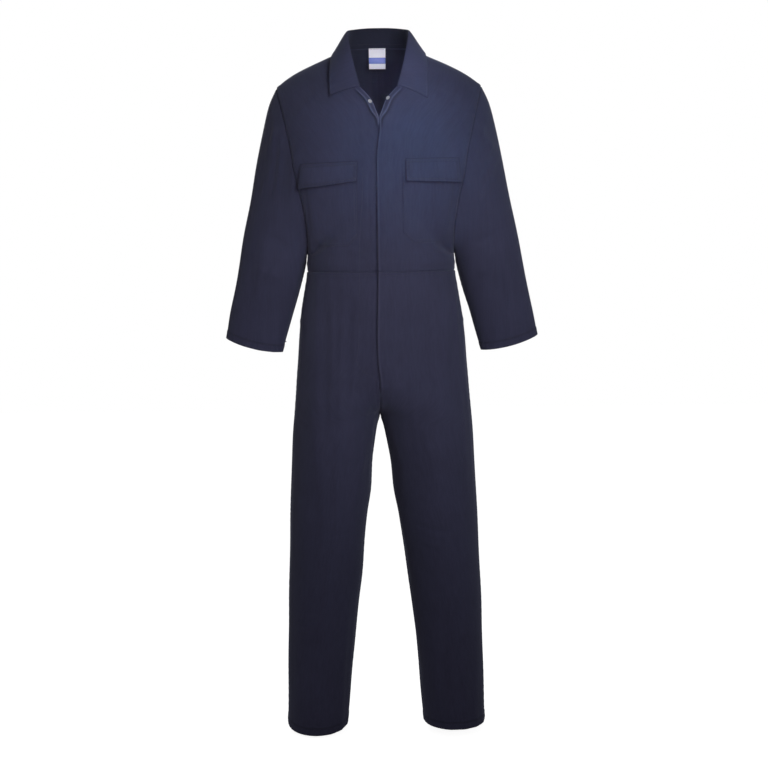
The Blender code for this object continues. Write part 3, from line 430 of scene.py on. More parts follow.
# ---- folds and creases: from x z to x z, bow, height, width
folds = {
    "front": (
        (150, -560, 128, -1010, 6, 2.6, 18), (98, -700, 112, -1190, -5, 2.2, 16),
        (-158, -590, -132, -1060, 5, 3.2, 16), (-104, -660, -112, -1240, -6, 3.0, 15),
        (16, -765, 96, -690, 5, 1.2, 15), (18, -800, 104, -860, -5, 1.4, 16), (-28, -765, -104, -700, 5, 1.2, 15),
        (-30, -800, -112, -880, -5, 1.4, 16), (62, -1130, 122, -1210, 4, -1.6, 18),
        (-70, -1150, -124, -1230, 4, -1.6, 18), (150, -1010, 196, -960, 3, -1.6, 16),
        (-150, -1040, -198, -985, 3, -1.6, 16), (214, -175, 258, -228, 3, 4.0, 12),
        (-214, -172, -256, -240, 3, 4.0, 12), (206, -430, 262, -402, 4, -4.0, 12),
        (-206, -440, -258, -414, 4, -4.0, 12), (222, -500, 286, -470, 3, 4.0, 12),
        (-222, -508, -284, -480, 3, 4.0, 12), (176, -200, 196, -330, 3, 3.0, 10),
        (-176, -196, -196, -336, 3, 3.0, 10), (96, -470, 140, -380, 4, 1.7, 15),
        (-96, -466, -142, -372, 4, 1.7, 15),
    ),
    "back": (
        (60, -470, 120, -360, 4, 4.5, 14), (-64, -474, -118, -368, 4, 4.5, 14), (18, -476, 34, -350, 3, 3.5, 13),
        (-22, -478, -30, -356, 3, 3.5, 13), (168, -190, 150, -330, 3, 4.5, 13),
        (-168, -186, -150, -336, 3, 4.5, 13), (20, -800, 108, -742, 4, 2.6, 16),
        (-30, -800, -112, -748, 4, 2.6, 16), (24, -826, 116, -884, 4, 2.6, 16), (-34, -826, -118, -890, 4, 2.6, 16),
        (70, -1120, 160, -1160, 5, -4.0, 14), (-72, -1130, -162, -1172, 5, -4.0, 14),
        (78, -1190, 166, -1216, 4, 4.0, 13), (-82, -1202, -166, -1226, 4, 4.0, 13),
        (128, -900, 134, -1080, 5, 3.5, 15), (-130, -910, -134, -1090, 5, 3.5, 15),
        (222, -420, 280, -452, 3, -4.0, 12), (-222, -426, -280, -460, 3, -4.0, 12),
        (234, -516, 300, -536, 3, 4.0, 12), (-234, -520, -300, -542, 3, 4.0, 12),
    ),
}
creases = {
    "front": (
        # fanning down the sleeves from the armhole
        (-232, -150, -252, -300, -5, 2.2, 6), (-218, -178, -238, -330, -6, 1.8, 5),
        (-245, -200, -270, -330, -4, 1.5, 5), (252, -210, 216, -300, 5, 2.4, 6), (262, -245, 226, -345, 4, 1.8, 5),
        (238, -165, 210, -240, 4, 1.6, 5), (-252, -390, -276, -560, 6, 1.8, 9), (262, -400, 292, -580, -6, 1.9, 9),
        (-230, -470, -262, -520, 3, 1.2, 5), (236, -560, 276, -540, 3, 1.1, 5),
        (-228, -618, -248, -636, 2, 1.0, 3.5), (-222, -634, -244, -650, 2, 0.9, 3.5),
        (-300, -600, -330, -560, 3, 0.9, 6), (300, -612, 336, -590, 3, 0.9, 6),
        # chest and waist
        (-162, -320, -152, -460, 4, 1.4, 6), (168, -330, 158, -452, -4, 1.4, 6), (-120, -96, -190, -150, 5, 1.3, 9),
        (118, -90, 186, -150, -5, 1.4, 9), (-150, -118, -206, -190, 4, 1.0, 7), (150, -128, 200, -200, -4, 1.1, 7),
        (20, -440, 62, -380, 4, 0.8, 7), (30, -470, 90, -446, 3, 0.9, 7), (-24, -462, -80, -440, 3, 0.7, 7),
        (-100, -474, -158, -452, 3, 0.8, 7), (104, -476, 158, -458, -3, 1.3, 6), (-30, -180, -40, -300, 2, 0.8, 6),
        (34, -190, 40, -320, -2, 0.8, 6),
        # down the thighs
        (-142, -512, -136, -840, 5, 1.3, 7), (-112, -520, -118, -860, -4, 1.5, 7),
        (-82, -530, -92, -900, 4, 1.4, 7), (-56, -540, -72, -820, -3, 1.2, 6), (-30, -560, -44, -760, 3, 0.9, 6),
        (60, -540, 74, -880, 4, 1.0, 8), (104, -520, 118, -800, -4, 1.1, 8), (170, -540, 184, -760, 3, 1.2, 7),
        (-174, -560, -186, -800, 3, 1.2, 7),
        # drawn from the crotch
        (-6, -800, -14, -680, 2, 1.3, 5), (0, -800, 8, -690, -2, 1.2, 5), (-16, -800, -34, -690, 2, 0.8, 5),
        (14, -800, 30, -700, -2, 0.7, 5), (-22, -850, -56, -960, 4, 1.2, 7), (-40, -905, -66, -1000, 3, 1.4, 6),
        (-52, -960, -70, -1040, 2, 1.2, 6), (16, -850, 50, -960, -4, 0.8, 7),
        # knees and shins
        (70, -1060, 160, -1072, 4, -1.4, 6), (84, -1096, 150, -1112, 3, 1.2, 6),
        (-76, -1086, -150, -1100, 3, 1.0, 6), (-150, -1270, -206, -1286, 3, 1.1, 4.5),
        (-140, -1292, -204, -1310, 3, 1.2, 4.5), (-146, -1318, -200, -1334, 3, 1.0, 4.5),
        (-120, -1120, -130, -1420, 5, 1.4, 9), (140, -1150, 150, -1440, -5, 1.4, 9),
        (-170, -1380, -150, -1500, 4, 1.0, 8), (176, -1330, 188, -1480, 4, 1.0, 8),
        (-196, -1500, -216, -1520, 2, 0.9, 4), (110, -1420, 130, -1520, 3, 0.9, 8),
    ),
    "back": (
        # inside the back neck
        (-16, -20, -18, -190, 1, 1.6, 4.5), (-2, -16, -2, -200, -1, 1.4, 4.5), (12, -20, 14, -190, -1, 1.6, 4.5),
        (26, -30, 34, -180, -2, 0.7, 5),
        # shoulder blades, waist, seat, knees and elbows
        (40, -60, 150, -110, 6, 1.6, 10), (-40, -58, -150, -112, 6, 1.6, 10), (150, -150, 120, -300, 5, 1.8, 9),
        (-150, -152, -122, -306, 5, 1.8, 9), (6, -480, 10, -390, 2, 1.8, 6), (44, -480, 54, -396, 2, 1.8, 6),
        (-42, -480, -56, -392, 2, 1.8, 6), (92, -480, 104, -410, 2, 1.7, 6), (-90, -482, -106, -414, 2, 1.7, 6),
        (24, -496, 32, -580, 3, 1.6, 7), (-28, -496, -34, -584, 3, 1.6, 7), (76, -498, 92, -600, 3, 1.6, 7),
        (-74, -498, -90, -604, 3, 1.6, 7), (124, -500, 138, -600, 3, 1.4, 7), (-122, -500, -138, -604, 3, 1.4, 7),
        (10, -812, 70, -780, 3, 1.2, 8), (-22, -812, -80, -782, 3, 1.2, 8), (16, -850, 80, -930, 4, 1.8, 7),
        (-26, -850, -86, -934, 4, 1.8, 7), (90, -1090, 170, -1110, 4, 1.6, 7), (-92, -1096, -172, -1116, 4, 1.6, 7),
        (96, -1240, 160, -1262, 4, 1.4, 7), (-100, -1250, -164, -1268, 4, 1.4, 7),
        (140, -1290, 150, -1500, 4, 1.3, 9), (-140, -1280, -150, -1496, 4, 1.3, 9),
        (226, -380, 276, -404, 3, 1.6, 6), (-226, -386, -276, -410, 3, 1.6, 6), (244, -470, 296, -486, 3, 1.6, 6),
        (-244, -474, -296, -490, 3, 1.6, 6), (214, -200, 246, -330, 4, 1.8, 8), (-214, -204, -246, -336, 4, 1.8, 8),
    ),
}


def foldHeight(points, normals, table, fine):
    # soft ridges and troughs. The fine ones narrow at their ends and have a slight hollow beside them
    height = np.zeros(points.shape[:-1])
    for face, toward in (("front", -1), ("back", 1)):
        facing = smoothStep(0.15, 0.6, toward * normals[..., 1])
        for x0, z0, x1, z1, bow, high, width in table[face]:
            start, line = np.array((x0, z0), float), np.array((x1 - x0, z1 - z0), float)
            length = np.hypot(*line)
            place = points[..., [0, 2]] - start
            t = place @ line / length**2
            inside = np.clip(t, 0, 1)
            side = (place @ np.array((line[1], -line[0]))) / length - bow * 4 * inside * (1 - inside)
            past = (t - inside) * length
            ends = smoothStep(-0.15, 0.3, t) * smoothStep(-0.15, 0.3, 1 - t)
            shape = hump(np.hypot(side, past), width)
            if fine:
                narrow = width * (0.65 + 0.5 * np.sin(math.pi * inside))
                hollow = hump(np.hypot(side - 1.7 * width, past), narrow)
                shape = hump(np.hypot(side, past), narrow) - 0.4 * hollow
            height += high * facing * ends * shape
    return height


slack = {"placket": 0.5, "placketX": -24, "legWaves": 0.7, "legSlow": 0.6, "armWaves": 0.3, "armSlow": 0.4,
         "bodice": 0.35}


def ripple(points):
    # slack of hanging cloth: long soft waves down the legs and sleeves, broader ones on the bodice
    x, y, z = points[..., 0], points[..., 1], points[..., 2]
    legs = smoothStep(-500, -600, z)
    arms = smoothStep(190, 215, np.abs(x)) * (1 - legs)
    waves = np.sin((x + 0.8 * y) / 6.1 + 0.9 * np.sin(z / 150)) * (0.5 + 0.5 * np.sin(z / 170 + x / 40))
    broad = np.sin(x / 23 + 0.7 * np.sin(z / 60)) * np.sin(z / 47 + y / 40 + 0.6)
    slow = np.sin(x / 41 + 1.1) * np.sin(z / 83 + 0.4) + 0.6 * np.sin(z / 29 + x / 33)
    # fine upright wrinkles beside the hidden placket
    upright = np.sin(x / 1.75 + 0.8 * np.sin(z / 61)) * (0.6 + 0.4 * np.sin(z / 43 + x / 9))
    beside = hump(x - slack["placketX"], 15) * smoothStep(-150, -190, z) * smoothStep(-840, -760, z) * (y < 0)
    return (slack["placket"] * upright * beside + legs * (slack["legWaves"] * waves + slack["legSlow"] * slow)
            + arms * (slack["armWaves"] * waves + slack["armSlow"] * slow) + (1 - legs) * slack["bodice"] * broad)


seams = {
    "groove": 0.9, "grooveWidth": 1.6, "armhole": 2.2, "armholeWidth": 2.4,
    "band": 0.7, "bandFrom": 9.2, "bandTo": 10.6, "row": 0.25, "rows": (2.0, 8.0),
    "hemRow": 17.2, "hemRise": 0.9, "pucker": 0.28, "overhang": 1.5, "sideOpeningZ": -603, "inseamZ": -745,
}


def felled(distance):
    # a felled seam: raised band with a dent under each row of stitches
    within = 1 - smoothStep(seams["bandFrom"], seams["bandTo"], distance)
    rise = seams["band"] * smoothStep(0.3, 1.6, distance) * within
    return rise - seams["row"] * sum(hump(distance - at, 0.7) for at in seams["rows"])


def pucker(run, distance, reach):
    # small uneven gathers that the stitching draws in
    wave = np.sin(run / 2.3 + 1.7 * np.sin(run / 11.0)) * (0.6 + 0.4 * np.sin(run / 37.0))
    return seams["pucker"] * wave * hump(distance, reach)


def groove(distance):
    return seams["groove"] * hump(distance, seams["grooveWidth"])


def seamRelief(name, panel):
    run, fromIn, fromOut = panel["fromIn"], np.abs(panel["fromIn"]), panel["fromOut"]
    down, up, z = panel["down"], panel["up"], panel["points"][..., 2]
    relief = np.zeros_like(down)
    bodice, leg, back = "bodice" in name, "leg" in name, "back" in name
    if panel["round"]:
        armhole = seams["armhole"] * hump(down, seams["armholeWidth"])
        relief -= seams["groove"] * (armhole + hump(fromOut, seams["grooveWidth"]))
        relief += pucker(run, down, 9) + pucker(down, fromOut, 7) + felled(fromOut) * 0.8
    else:
        relief -= groove(fromOut)
        sideSeam = smoothStep(-440, -452, z) if bodice else np.ones_like(z)
        banded = np.ones_like(z) if back else 1 - sideSeam
        relief += banded * felled(fromOut) + pucker(down, fromOut, 8)
    if leg:
        sewn = np.ones_like(z) if back else z < seams["inseamZ"]
        relief -= sewn * seams["groove"] * hump(fromIn, seams["grooveWidth"])
        if name.endswith("left") or back:
            relief += sewn * felled(fromIn)
        relief += sewn * pucker(down, fromIn, 8)
    if bodice:
        relief -= seams["groove"] * (hump(up, seams["grooveWidth"]) + hump(down, seams["grooveWidth"]))
        relief += pucker(run, up, 12) * 1.6
        relief += seams["overhang"] * hump(up - 17, 10)  # the bodice hangs over the waist seam a little
        if back:
            relief += felled(down) * smoothStep(85, 110, fromIn)
    if leg:
        relief -= groove(down)
        relief += felled(down) + pucker(run, down, 12) * 1.6
        relief += 1.6 * hump(z - seams["sideOpeningZ"], 5) * hump(fromOut, 7)  # the end of the side opening
    if leg or panel["round"]:
        rope = 0.22 * np.sin(run / 1.9 + up / 3.0 + 1.2 * np.sin(run / 13)) * (1 - smoothStep(17, 19, up))
        relief += seams["hemRise"] * (1 - smoothStep(18.4, 20.0, up)) * smoothStep(-0.5, 1.2, up)
        relief += rope - 2.4 * seams["row"] * hump(up - seams["hemRow"], 1.0)
    return relief


def lapOffset(name, points):
    # the left front lies over the right one
    sign = 1 if name.endswith("left") else -1
    near = 1 - smoothStep(45, 95, np.abs(points[..., 0]))
    if "bodice" in name:
        return sign * cut["lap"] * near * smoothStep(3, 5, bodiceKeys[:, None])
    return sign * cut["lap"] * near * (1 - smoothStep(cut["flyEndRow"], cut["flyEndRow"] + 0.8, legKeys[:, None]))


def foldWidth(keys):
    # the turned strip narrows towards the foot of the opening
    return cut["turnWidth"] * (1 - 0.7 * smoothStep(cut["crossingRow"] - 1.4, cut["crossingRow"] + 0.2, keys))


def turnInEdge(points, fromIn):
    # the edges of the open neck are turned in
    keys = bodiceKeys[:, None]
    amount = smoothStep(4, 4.8, keys) * (1 - smoothStep(cut["crossingRow"] - 0.9, cut["crossingRow"] + 0.2, keys))
    fold = foldWidth(keys)
    points[..., 1] += cut["turnDepth"] * amount * np.clip(1 - fromIn / fold, 0, 1)
    # a shallow hollow outside the fold, so that the folded edge stands up
    points[..., 1] += 2.6 * amount * hump(fromIn - fold - 3.6, 2.0)
    points[..., 1] += 1.6 * amount * hump(fromIn - fold - 11, 8)
    points[..., 1] -= 1.3 * amount * hump(fromIn - fold, 1.5)
    return points


for name, panel in panels.items():
    points, normals = panel["points"], panel["shared"]
    if name == "front_leg_right":  # hangs lower at the front
        middle = np.sin(math.pi * panel["fromIn"] / (panel["fromIn"] + panel["fromOut"]))
        points[..., 2] -= cut["hemDip"] * smoothStep(18, 20, legKeys)[:, None] * middle
    offset = foldHeight(points, normals, folds, False) + foldHeight(points, normals, creases, True)
    offset += ripple(points) + seamRelief(name, panel)
    if name.startswith("front"):
        offset += lapOffset(name, points)
        free = bodiceKeys[:, None] > 4.5 if "bodice" in name else legKeys[:, None] < cut["flyEndRow"]
        offset -= free * 0.9 * hump(panel["fromIn"], 1.1)
        offset += free * 0.5 * hump(panel["fromIn"] - 3.0, 2.5)
    panel["surface"] = points + normals * offset[..., None]
    if name.startswith("front_bodice"):
        panel["surface"] = turnInEdge(panel["surface"], panel["fromIn"])
    panel["surfaceNormals"] = gridNormals(panel["surface"], name in turned, panel["round"])


def tuckUnder(grid, normals, weight=1.0):
    # the sewn edge dips under and past its seam line, as an allowance does
    grid[0] += weight * (cut["tuck"] * unit(grid[0] - grid[1]) - cut["tuckDepth"] * normals[0])


for name, panel in panels.items():
    rows, rowNormals = panel["surface"], panel["surfaceNormals"]
    columns, columnNormals = rows.transpose(1, 0, 2), rowNormals.transpose(1, 0, 2)
    tuckUnder(rows, rowNormals)
    if "bodice" in name:
        tuckUnder(rows[::-1], rowNormals[::-1])
    if not panel["round"]:
        tuckUnder(columns[::-1], columnNormals[::-1])
    if name == "back_bodice":
        tuckUnder(columns, columnNormals)
    if "leg" in name:
        inseam = smoothStep(cut["crotchRow"] - 0.1, cut["crotchRow"] + 0.3, legKeys)
        tuckUnder(columns, columnNormals, inseam[:, None])
        # above the crotch the edge runs a little past the middle of the suit
        closed = 1 - inseam
        if name.startswith("front"):
            closed = closed * smoothStep(cut["flyEndRow"], cut["flyEndRow"] + 0.4, legKeys)
        columns[0, :, 0] += (cut["tuck"] if name.endswith("right") else -cut["tuck"]) * closed
print("folds and seams shaped")


# ---- materials
def srgb(text):
    parts = [int(text[i:i + 2], 16) / 255 for i in (0, 2, 4)]
    return tuple(c / 12.92 if c <= 0.04045 else ((c + 0.055) / 1.055) ** 2.4 for c in parts) + (1.0,)


def node(material, kind, settings=None, links=None):
    # adds a node with its settings and its input links
    made = material.node_tree.nodes.new(kind)
    for key, value in (settings or {}).items():
        if isinstance(key, int) or key in made.inputs:
            made.inputs[key].default_value = value
        else:
            setattr(made, key, value)
    for key, source in (links or {}).items():
        material.node_tree.links.new(source, made.inputs[key])
    return made


def newMaterial(name, settings):
    material = bpy.data.materials.new(name)
    material.use_nodes = True
    shader = material.node_tree.nodes["Principled BSDF"]
    for key, value in settings.items():
        shader.inputs[key].default_value = value
    return material, shader


def noise(material, vector, scale, detail):
    settings = {"Scale": scale, "Detail": detail}
    return node(material, "ShaderNodeTexNoise", settings, {"Vector": vector}).outputs["Fac"]


def ranged(material, source, low, high, toLow, toHigh):
    settings = {"From Min": low, "From Max": high, "To Min": toLow, "To Max": toHigh}
    return node(material, "ShaderNodeMapRange", settings, {"Value": source}).outputs["Result"]


def added(material, first, second):
    return node(material, "ShaderNodeMath", {"operation": "ADD"}, {0: first, 1: second}).outputs[0]


def coloured(material, share, low, high):
    # from one colour to another. The first may come from a node
    links = {0: share} if isinstance(low, tuple) else {0: share, 6: low}
    mix = node(material, "ShaderNodeMix", {"data_type": "RGBA", 7: high}, links)
    if isinstance(low, tuple):
        mix.inputs[6].default_value = low
    return mix.outputs[2]


twill = {
    # the pale colour paints edge wear and painted highlights, the darkest one painted shade along seams and outlines
    "dark": "2b2c42", "light": "3b3d58", "wornAndHighlight": "5a5e7c", "paintedShade": "1c1d2b", "inside": "212333",
    "ribPitch": 1.1,  # mm. The real ribs are 0.5 mm apart, drawn coarser so that they show
    "ribAngle": 58, "slubSize": 9.0, "slubStretch": 0.12, "patchSize": 120.0,
    "streakSize": 15.0, "streakStretch": 0.1, "grain": 420.0,
    "ribShare": (0.25, 0.6), "slub": 0.1, "patch": 0.12, "streak": 0.05,  # how far each one shades the cloth
    "roughness": 0.88, "sheen": 0.18, "bumpDepth": 0.00025, "bump": 0.35,
}
waveTurn = 2 * math.pi / 20  # one band of the wave texture, in its own units


def makeTwill(name, lift):
    # polyester and cotton twill, piece dyed and pressed: matt, with fine slanting ribs and a faint bloom at a slant
    material, shader = newMaterial(name, {
        "Roughness": twill["roughness"], "Specular IOR Level": 0.25, "Sheen Weight": twill["sheen"],
        "Sheen Roughness": 0.55, "Sheen Tint": srgb("b4bede"),
    })
    link = material.node_tree.links.new
    uv = node(material, "ShaderNodeUVMap", {"uv_map": "cloth"}).outputs["UV"]  # in metres
    place = node(material, "ShaderNodeTexCoord").outputs["Object"]

    def mapped(settings):
        return node(material, "ShaderNodeMapping", settings, {"Vector": uv}).outputs["Vector"]

    ribs = node(material, "ShaderNodeTexWave", {
        "wave_type": "BANDS", "bands_direction": "X", "Scale": waveTurn / (twill["ribPitch"] * mm), "Distortion": 0.6,
        "Detail": 1.0, "Detail Scale": 1.5,
    }, {"Vector": mapped({"Rotation": (0, 0, math.radians(twill["ribAngle"]))})}).outputs["Fac"]
    # thick and thin yarns, cloudy dyeing, and long soft streaks along the warp
    slub = noise(material, mapped({"Scale": (1.0, twill["slubStretch"], 1.0)}), 2500 / twill["slubSize"], 3.0)
    streak = noise(material, mapped({"Scale": (1.0, twill["streakStretch"], 1.0)}), 1000 / twill["streakSize"], 2.0)
    patch = noise(material, place, 1000 / twill["patchSize"], 2.0)
    shade = ranged(material, ribs, 0.2, 0.8, *twill["ribShare"])
    shade = added(material, shade, ranged(material, slub, 0.35, 0.65, -twill["slub"], twill["slub"]))
    shade = added(material, shade, ranged(material, patch, 0.3, 0.7, -twill["patch"], twill["patch"]))
    shade = added(material, shade, ranged(material, streak, 0.32, 0.68, -twill["streak"], twill["streak"]))
    shade = node(material, "ShaderNodeMath", {"operation": "ADD", "use_clamp": True, 1: max(lift, -0.3)}, {0: shade})
    low, high = (twill["inside"], twill["dark"]) if lift < -0.5 else (twill["dark"], twill["light"])
    cloth = coloured(material, shade.outputs[0], srgb(low), srgb(high))
    # an attribute painted from the seams: above zero, edge wear and painted highlights are paler; below zero, painted
    # shade darkens seam lines, hems and outlines
    wearAndPaintedLight = node(material, "ShaderNodeAttribute", {"attribute_name": "wearAndPaintedLight"}).outputs["Fac"]
    paintedShade = coloured(material, ranged(material, wearAndPaintedLight, -1.0, 0.0, 1.0, 0.0), cloth, srgb(twill["paintedShade"]))
    link(coloured(material, wearAndPaintedLight, paintedShade, srgb(twill["wornAndHighlight"])), shader.inputs["Base Color"])
    grain = noise(material, place, twill["grain"], 2.0)
    height = node(material, "ShaderNodeMath", {"operation": "MULTIPLY_ADD", 1: 0.6}, {0: ribs, 2: grain})
    bump = node(material, "ShaderNodeBump", {"Strength": twill["bump"], "Distance": twill["bumpDepth"]},
                {"Height": height.outputs[0]})
    link(bump.outputs["Normal"], shader.inputs["Normal"])
    return material


navyTwill = makeTwill("navyTwillPressed", 0.0)
navyTwillDouble = makeTwill("navyTwillDoubleLayer", 0.06)
# the weft side of the same twill, which shows inside the neck: duller and darker
navyTwillReverse = makeTwill("navyTwillReverse", -0.75)
# core-spun polyester thread: a little shinier than the cloth
navyThread, _ = newMaterial("navyPolyesterThread", {
    "Base Color": srgb("242739"), "Roughness": 0.8, "Specular IOR Level": 0.3, "Sheen Weight": 0.1})
# nickel-plated brass, stamped and tumbled: bright, slightly soft reflections
nickel, nickelShader = newMaterial("nickelPlatedBrass", {
    "Base Color": srgb("eeede9"), "Metallic": 1.0, "Roughness": 0.4})
scratches = noise(nickel, node(nickel, "ShaderNodeTexCoord").outputs["Object"], 900.0, 3.0)
nickel.node_tree.links.new(ranged(nickel, scratches, 0.0, 1.0, 0.34, 0.5), nickelShader.inputs["Roughness"])


def makeSatin(name, colour):
    # woven polyester satin ribbon: smooth, with a soft gloss across the float threads
    material, shader = newMaterial(name, {
        "Base Color": srgb(colour), "Roughness": 0.42, "Specular IOR Level": 0.5, "Sheen Weight": 0.15})
    uv = node(material, "ShaderNodeUVMap", {"uv_map": "cloth"})
    floats = node(material, "ShaderNodeTexWave", {"bands_direction": "Y", "Scale": waveTurn / (0.6 * mm)},
                  {"Vector": uv.outputs["UV"]})
    bump = node(material, "ShaderNodeBump", {"Strength": 0.15, "Distance": 0.0001}, {"Height": floats.outputs["Fac"]})
    material.node_tree.links.new(bump.outputs["Normal"], shader.inputs["Normal"])
    return material


whiteSatin = makeSatin("whiteLabelSatin", "e8e6f0")
blueSatin = makeSatin("blueLabelSatin", "3e54ae")


# ---- meshes from grids
def gridFaces(rows, columns, closed, flip):
    r, c = np.meshgrid(np.arange(rows - 1), np.arange(columns if closed else columns - 1), indexing="ij")
    d = (c + 1) % columns
    quads = np.stack([r * columns + c, (r + 1) * columns + c, (r + 1) * columns + d, r * columns + d], -1)
    quads = quads.reshape(-1, 4)
    return (quads[:, ::-1] if flip else quads).tolist()


def sayCut(grid, closed):
    # the whole cut, measured along the cloth
    turn = np.concatenate([grid, grid[:, :1]], 1) if closed else grid
    width, length = runAlong(turn)[:, -1].max() * mm, runAlong(grid, 0)[-1].max() * mm


def addCloth(solid, points, flip, materials, uv, thickness, closed=False, wearAndPaintedLight=None, bands=None):
    # a cloth piece that stands for its solid: one sheet given its thickness inwards
    mesh = bpy.data.meshes.new(solid + "_cloth")
    faces = gridFaces(*points.shape[:2], closed, flip)
    mesh.from_pydata((points.reshape(-1, 3) * mm).tolist(), [], faces)
    for material in materials:
        mesh.materials.append(material)
    if bands is not None:
        mesh.polygons.foreach_set("material_index", bands.ravel().astype(np.int32))
    layer = mesh.uv_layers.new(name="cloth")
    flat = (np.stack(uv, -1) * mm).reshape(-1, 2)
    corners = np.zeros(len(mesh.loops), np.int32)
    mesh.loops.foreach_get("vertex_index", corners)
    coords = flat[corners]
    if closed:  # the last column joins the first one
        columns = points.shape[1]
        corner = corners.reshape(-1, 4)
        wraps = (corner % columns == columns - 1).any(1) & (corner % columns == 0).any(1)
        girth = (uv[0][:, -1] * 2 - uv[0][:, -2]) * mm
        shift = wraps[:, None] & (corner % columns == 0)
        coords[shift.reshape(-1), 0] += girth[(corner // columns)[shift]]
    layer.data.foreach_set("uv", coords.astype(np.float32).ravel())
    # a point attribute that carries edge wear, painted highlights and painted shade
    wearAndLightLayer = mesh.attributes.new("wearAndPaintedLight", "FLOAT", "POINT")
    wearAndLightLayer.data.foreach_set("value", (np.zeros(len(flat)) if wearAndPaintedLight is None else wearAndPaintedLight.ravel()).astype(np.float32))
    mesh.validate()
    mesh.shade_smooth()
    ob = bpy.data.objects.new(solid + "_cloth", mesh)
    bpy.context.scene.collection.objects.link(ob)
    wall = ob.modifiers.new("cloth", "SOLIDIFY")
    wall.thickness, wall.offset, wall.use_rim = thickness * mm, -1, True
    wall.material_offset = len(materials) - 1 if bands is None else 0  # the second one is the reverse side
    bpy.context.view_layer.objects.active = ob
    bpy.ops.object.select_all(action="DESELECT")
    ob.select_set(True)
    bpy.ops.object.modifier_apply(modifier="cloth")
    bpy.ops.object.shade_smooth_by_angle(angle=math.radians(50))
    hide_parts(solid)
    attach(ob, "root")
    sayCut(points, closed)


def seamShade(name, panel):
    # above zero the cloth is paler, from edge wear and painted highlights; below zero it is painted shade along
    # seams, hems and the lapping edge
    fromIn, fromOut, down, up = (panel[key] for key in ("fromIn", "fromOut", "down", "up"))
    bodice, front, leg = "bodice" in name, name.startswith("front"), "leg" in name
    # paler along the outer edges, the hem fold and the free front edge: edge wear and a painted highlight together
    edgeWearAndHighlight = 0.55 * hump(np.abs(fromOut) - 1.5, 2.0) + 0.6 * hump(up - 0.5, 1.6)
    if front:
        edgeWearAndHighlight = edgeWearAndHighlight + 0.8 * hump(fromIn - 1.0, 1.6)
    shade = np.clip(edgeWearAndHighlight * (0.5 + 0.5 * np.sin(down / 7 + np.sin(down / 23))), 0, 1) * 0.25
    if front and bodice:  # the turned edges of the open neck
        keys = bodiceKeys[:, None]
        openNeck = smoothStep(4, 4.6, keys) * (1 - smoothStep(7, 7.8, keys))
        # painted highlights on the fold and on the free edge, and a painted shadow just outside the fold
        lines = hump(fromIn - foldWidth(keys), 1.2) + hump(fromIn - 0.6, 1.2)
        shade = shade + openNeck * (0.8 * lines - 0.9 * hump(fromIn - foldWidth(keys) - 3.8, 2.4))
    if name in ("front_bodice_left", "front_leg_left"):  # the lapping edge is a dark line with a light one beside it
        lapped = smoothStep(6.7, 7.1, keys) if bodice else 1 - smoothStep(5, 5.6, legKeys[:, None])
        # a painted highlight beside a painted shadow line under the lapping edge
        shade = shade + lapped * (0.15 * hump(fromIn - 4.8, 1.4) - 0.9 * hump(fromIn - 0.6, 1.7))
    # painted shade along the seams: armholes, side seams, waist and leg seams
    if panel["round"]:
        shade = shade - 0.7 * hump(down, 2.6)
    elif bodice:
        shade = shade - 0.7 * hump(fromOut, 2.4) - 0.06 * hump(up, 2.5)
    else:
        shade = shade - 0.06 * hump(down, 2.5) - 0.3 * hump(fromOut, 1.8)
    # painted shade along the hem's stitch row
    if leg or panel["round"]:
        shade = shade - 0.5 * hump(up - seams["hemRow"], 1.4)
    return shade


for name, panel in panels.items():
    sign = -1 if name.endswith("right") else 1
    addCloth(name, panel["surface"], name in turned, [navyTwill, navyTwillReverse],
             (sign * panel["fromIn"], -panel["down"]), cut["cloth"], panel["round"], seamShade(name, panel))
print("panels made")


# ---- what lies on the panels
def skinTree(names):
    points, faces = [], []
    for name in names:
        grid = panels[name]["surface"]
        quads = gridFaces(*grid.shape[:2], panels[name]["round"], name in turned)
        faces += [tuple(i + len(points) for i in q) for q in quads]
        points += grid.reshape(-1, 3).tolist()
    return BVHTree.FromPolygons(points, faces)


def laidOn(tree, xs, zs):
    hits = np.zeros((*xs.shape, 3))
    for index in np.ndindex(xs.shape):
        hits[index] = tree.ray_cast(Vector((xs[index], -400.0, zs[index])), Vector((0, 1, 0)))[0]
    normals = unit(np.cross(np.gradient(hits, axis=0), np.gradient(hits, axis=1)))
    normals[normals[..., 1] > 0] *= -1
    return hits, normals


def softened(grid, rounds):
    # evens out a laid piece, which is stiffer than the cloth below it
    for _ in range(rounds):
        wide = np.pad(grid, ((1, 1), (1, 1), (0, 0)), mode="reflect", reflect_type="odd")
        grid = (wide[:-2, 1:-1] + wide[2:, 1:-1] + wide[1:-1, :-2] + wide[1:-1, 2:]) / 8 + grid / 2
    return grid


def keepClear(tree, grid, gap):
    for index in np.ndindex(grid.shape[:2]):
        place, normal, _, _ = tree.find_nearest(Vector(grid[index]))
        lack = gap - (Vector(grid[index]) - place).dot(normal)
        if lack > 0:
            grid[index] += lack * np.array(normal)
    return grid


stitchLines = {"stitching_" + group: [] for group in ("bodice", "legs", "sleeves", "pockets", "collar")}


def edgeDistances(grid):
    columns, rows = runAlong(grid), runAlong(grid, 0)
    return columns, columns[:, -1:] - columns, rows, rows[-1:] - rows


def lineAcross(grid, normals, distance, at, first=0, last=None):
    # a line down the rows at a set distance from one edge
    line, ways = [], []
    for r in range(len(grid))[first:last]:
        order = np.argsort(distance[r])
        line.append(readAt(at, distance[r][order], grid[r][order]))
        ways.append(readAt(at, distance[r][order], normals[r][order]))
    return np.array(line), unit(np.array(ways))


def lineAlong(grid, normals, distance, at, first=0, last=None):
    # a line along the columns
    return lineAcross(grid.transpose(1, 0, 2), normals.transpose(1, 0, 2), distance.T, at, first, last)


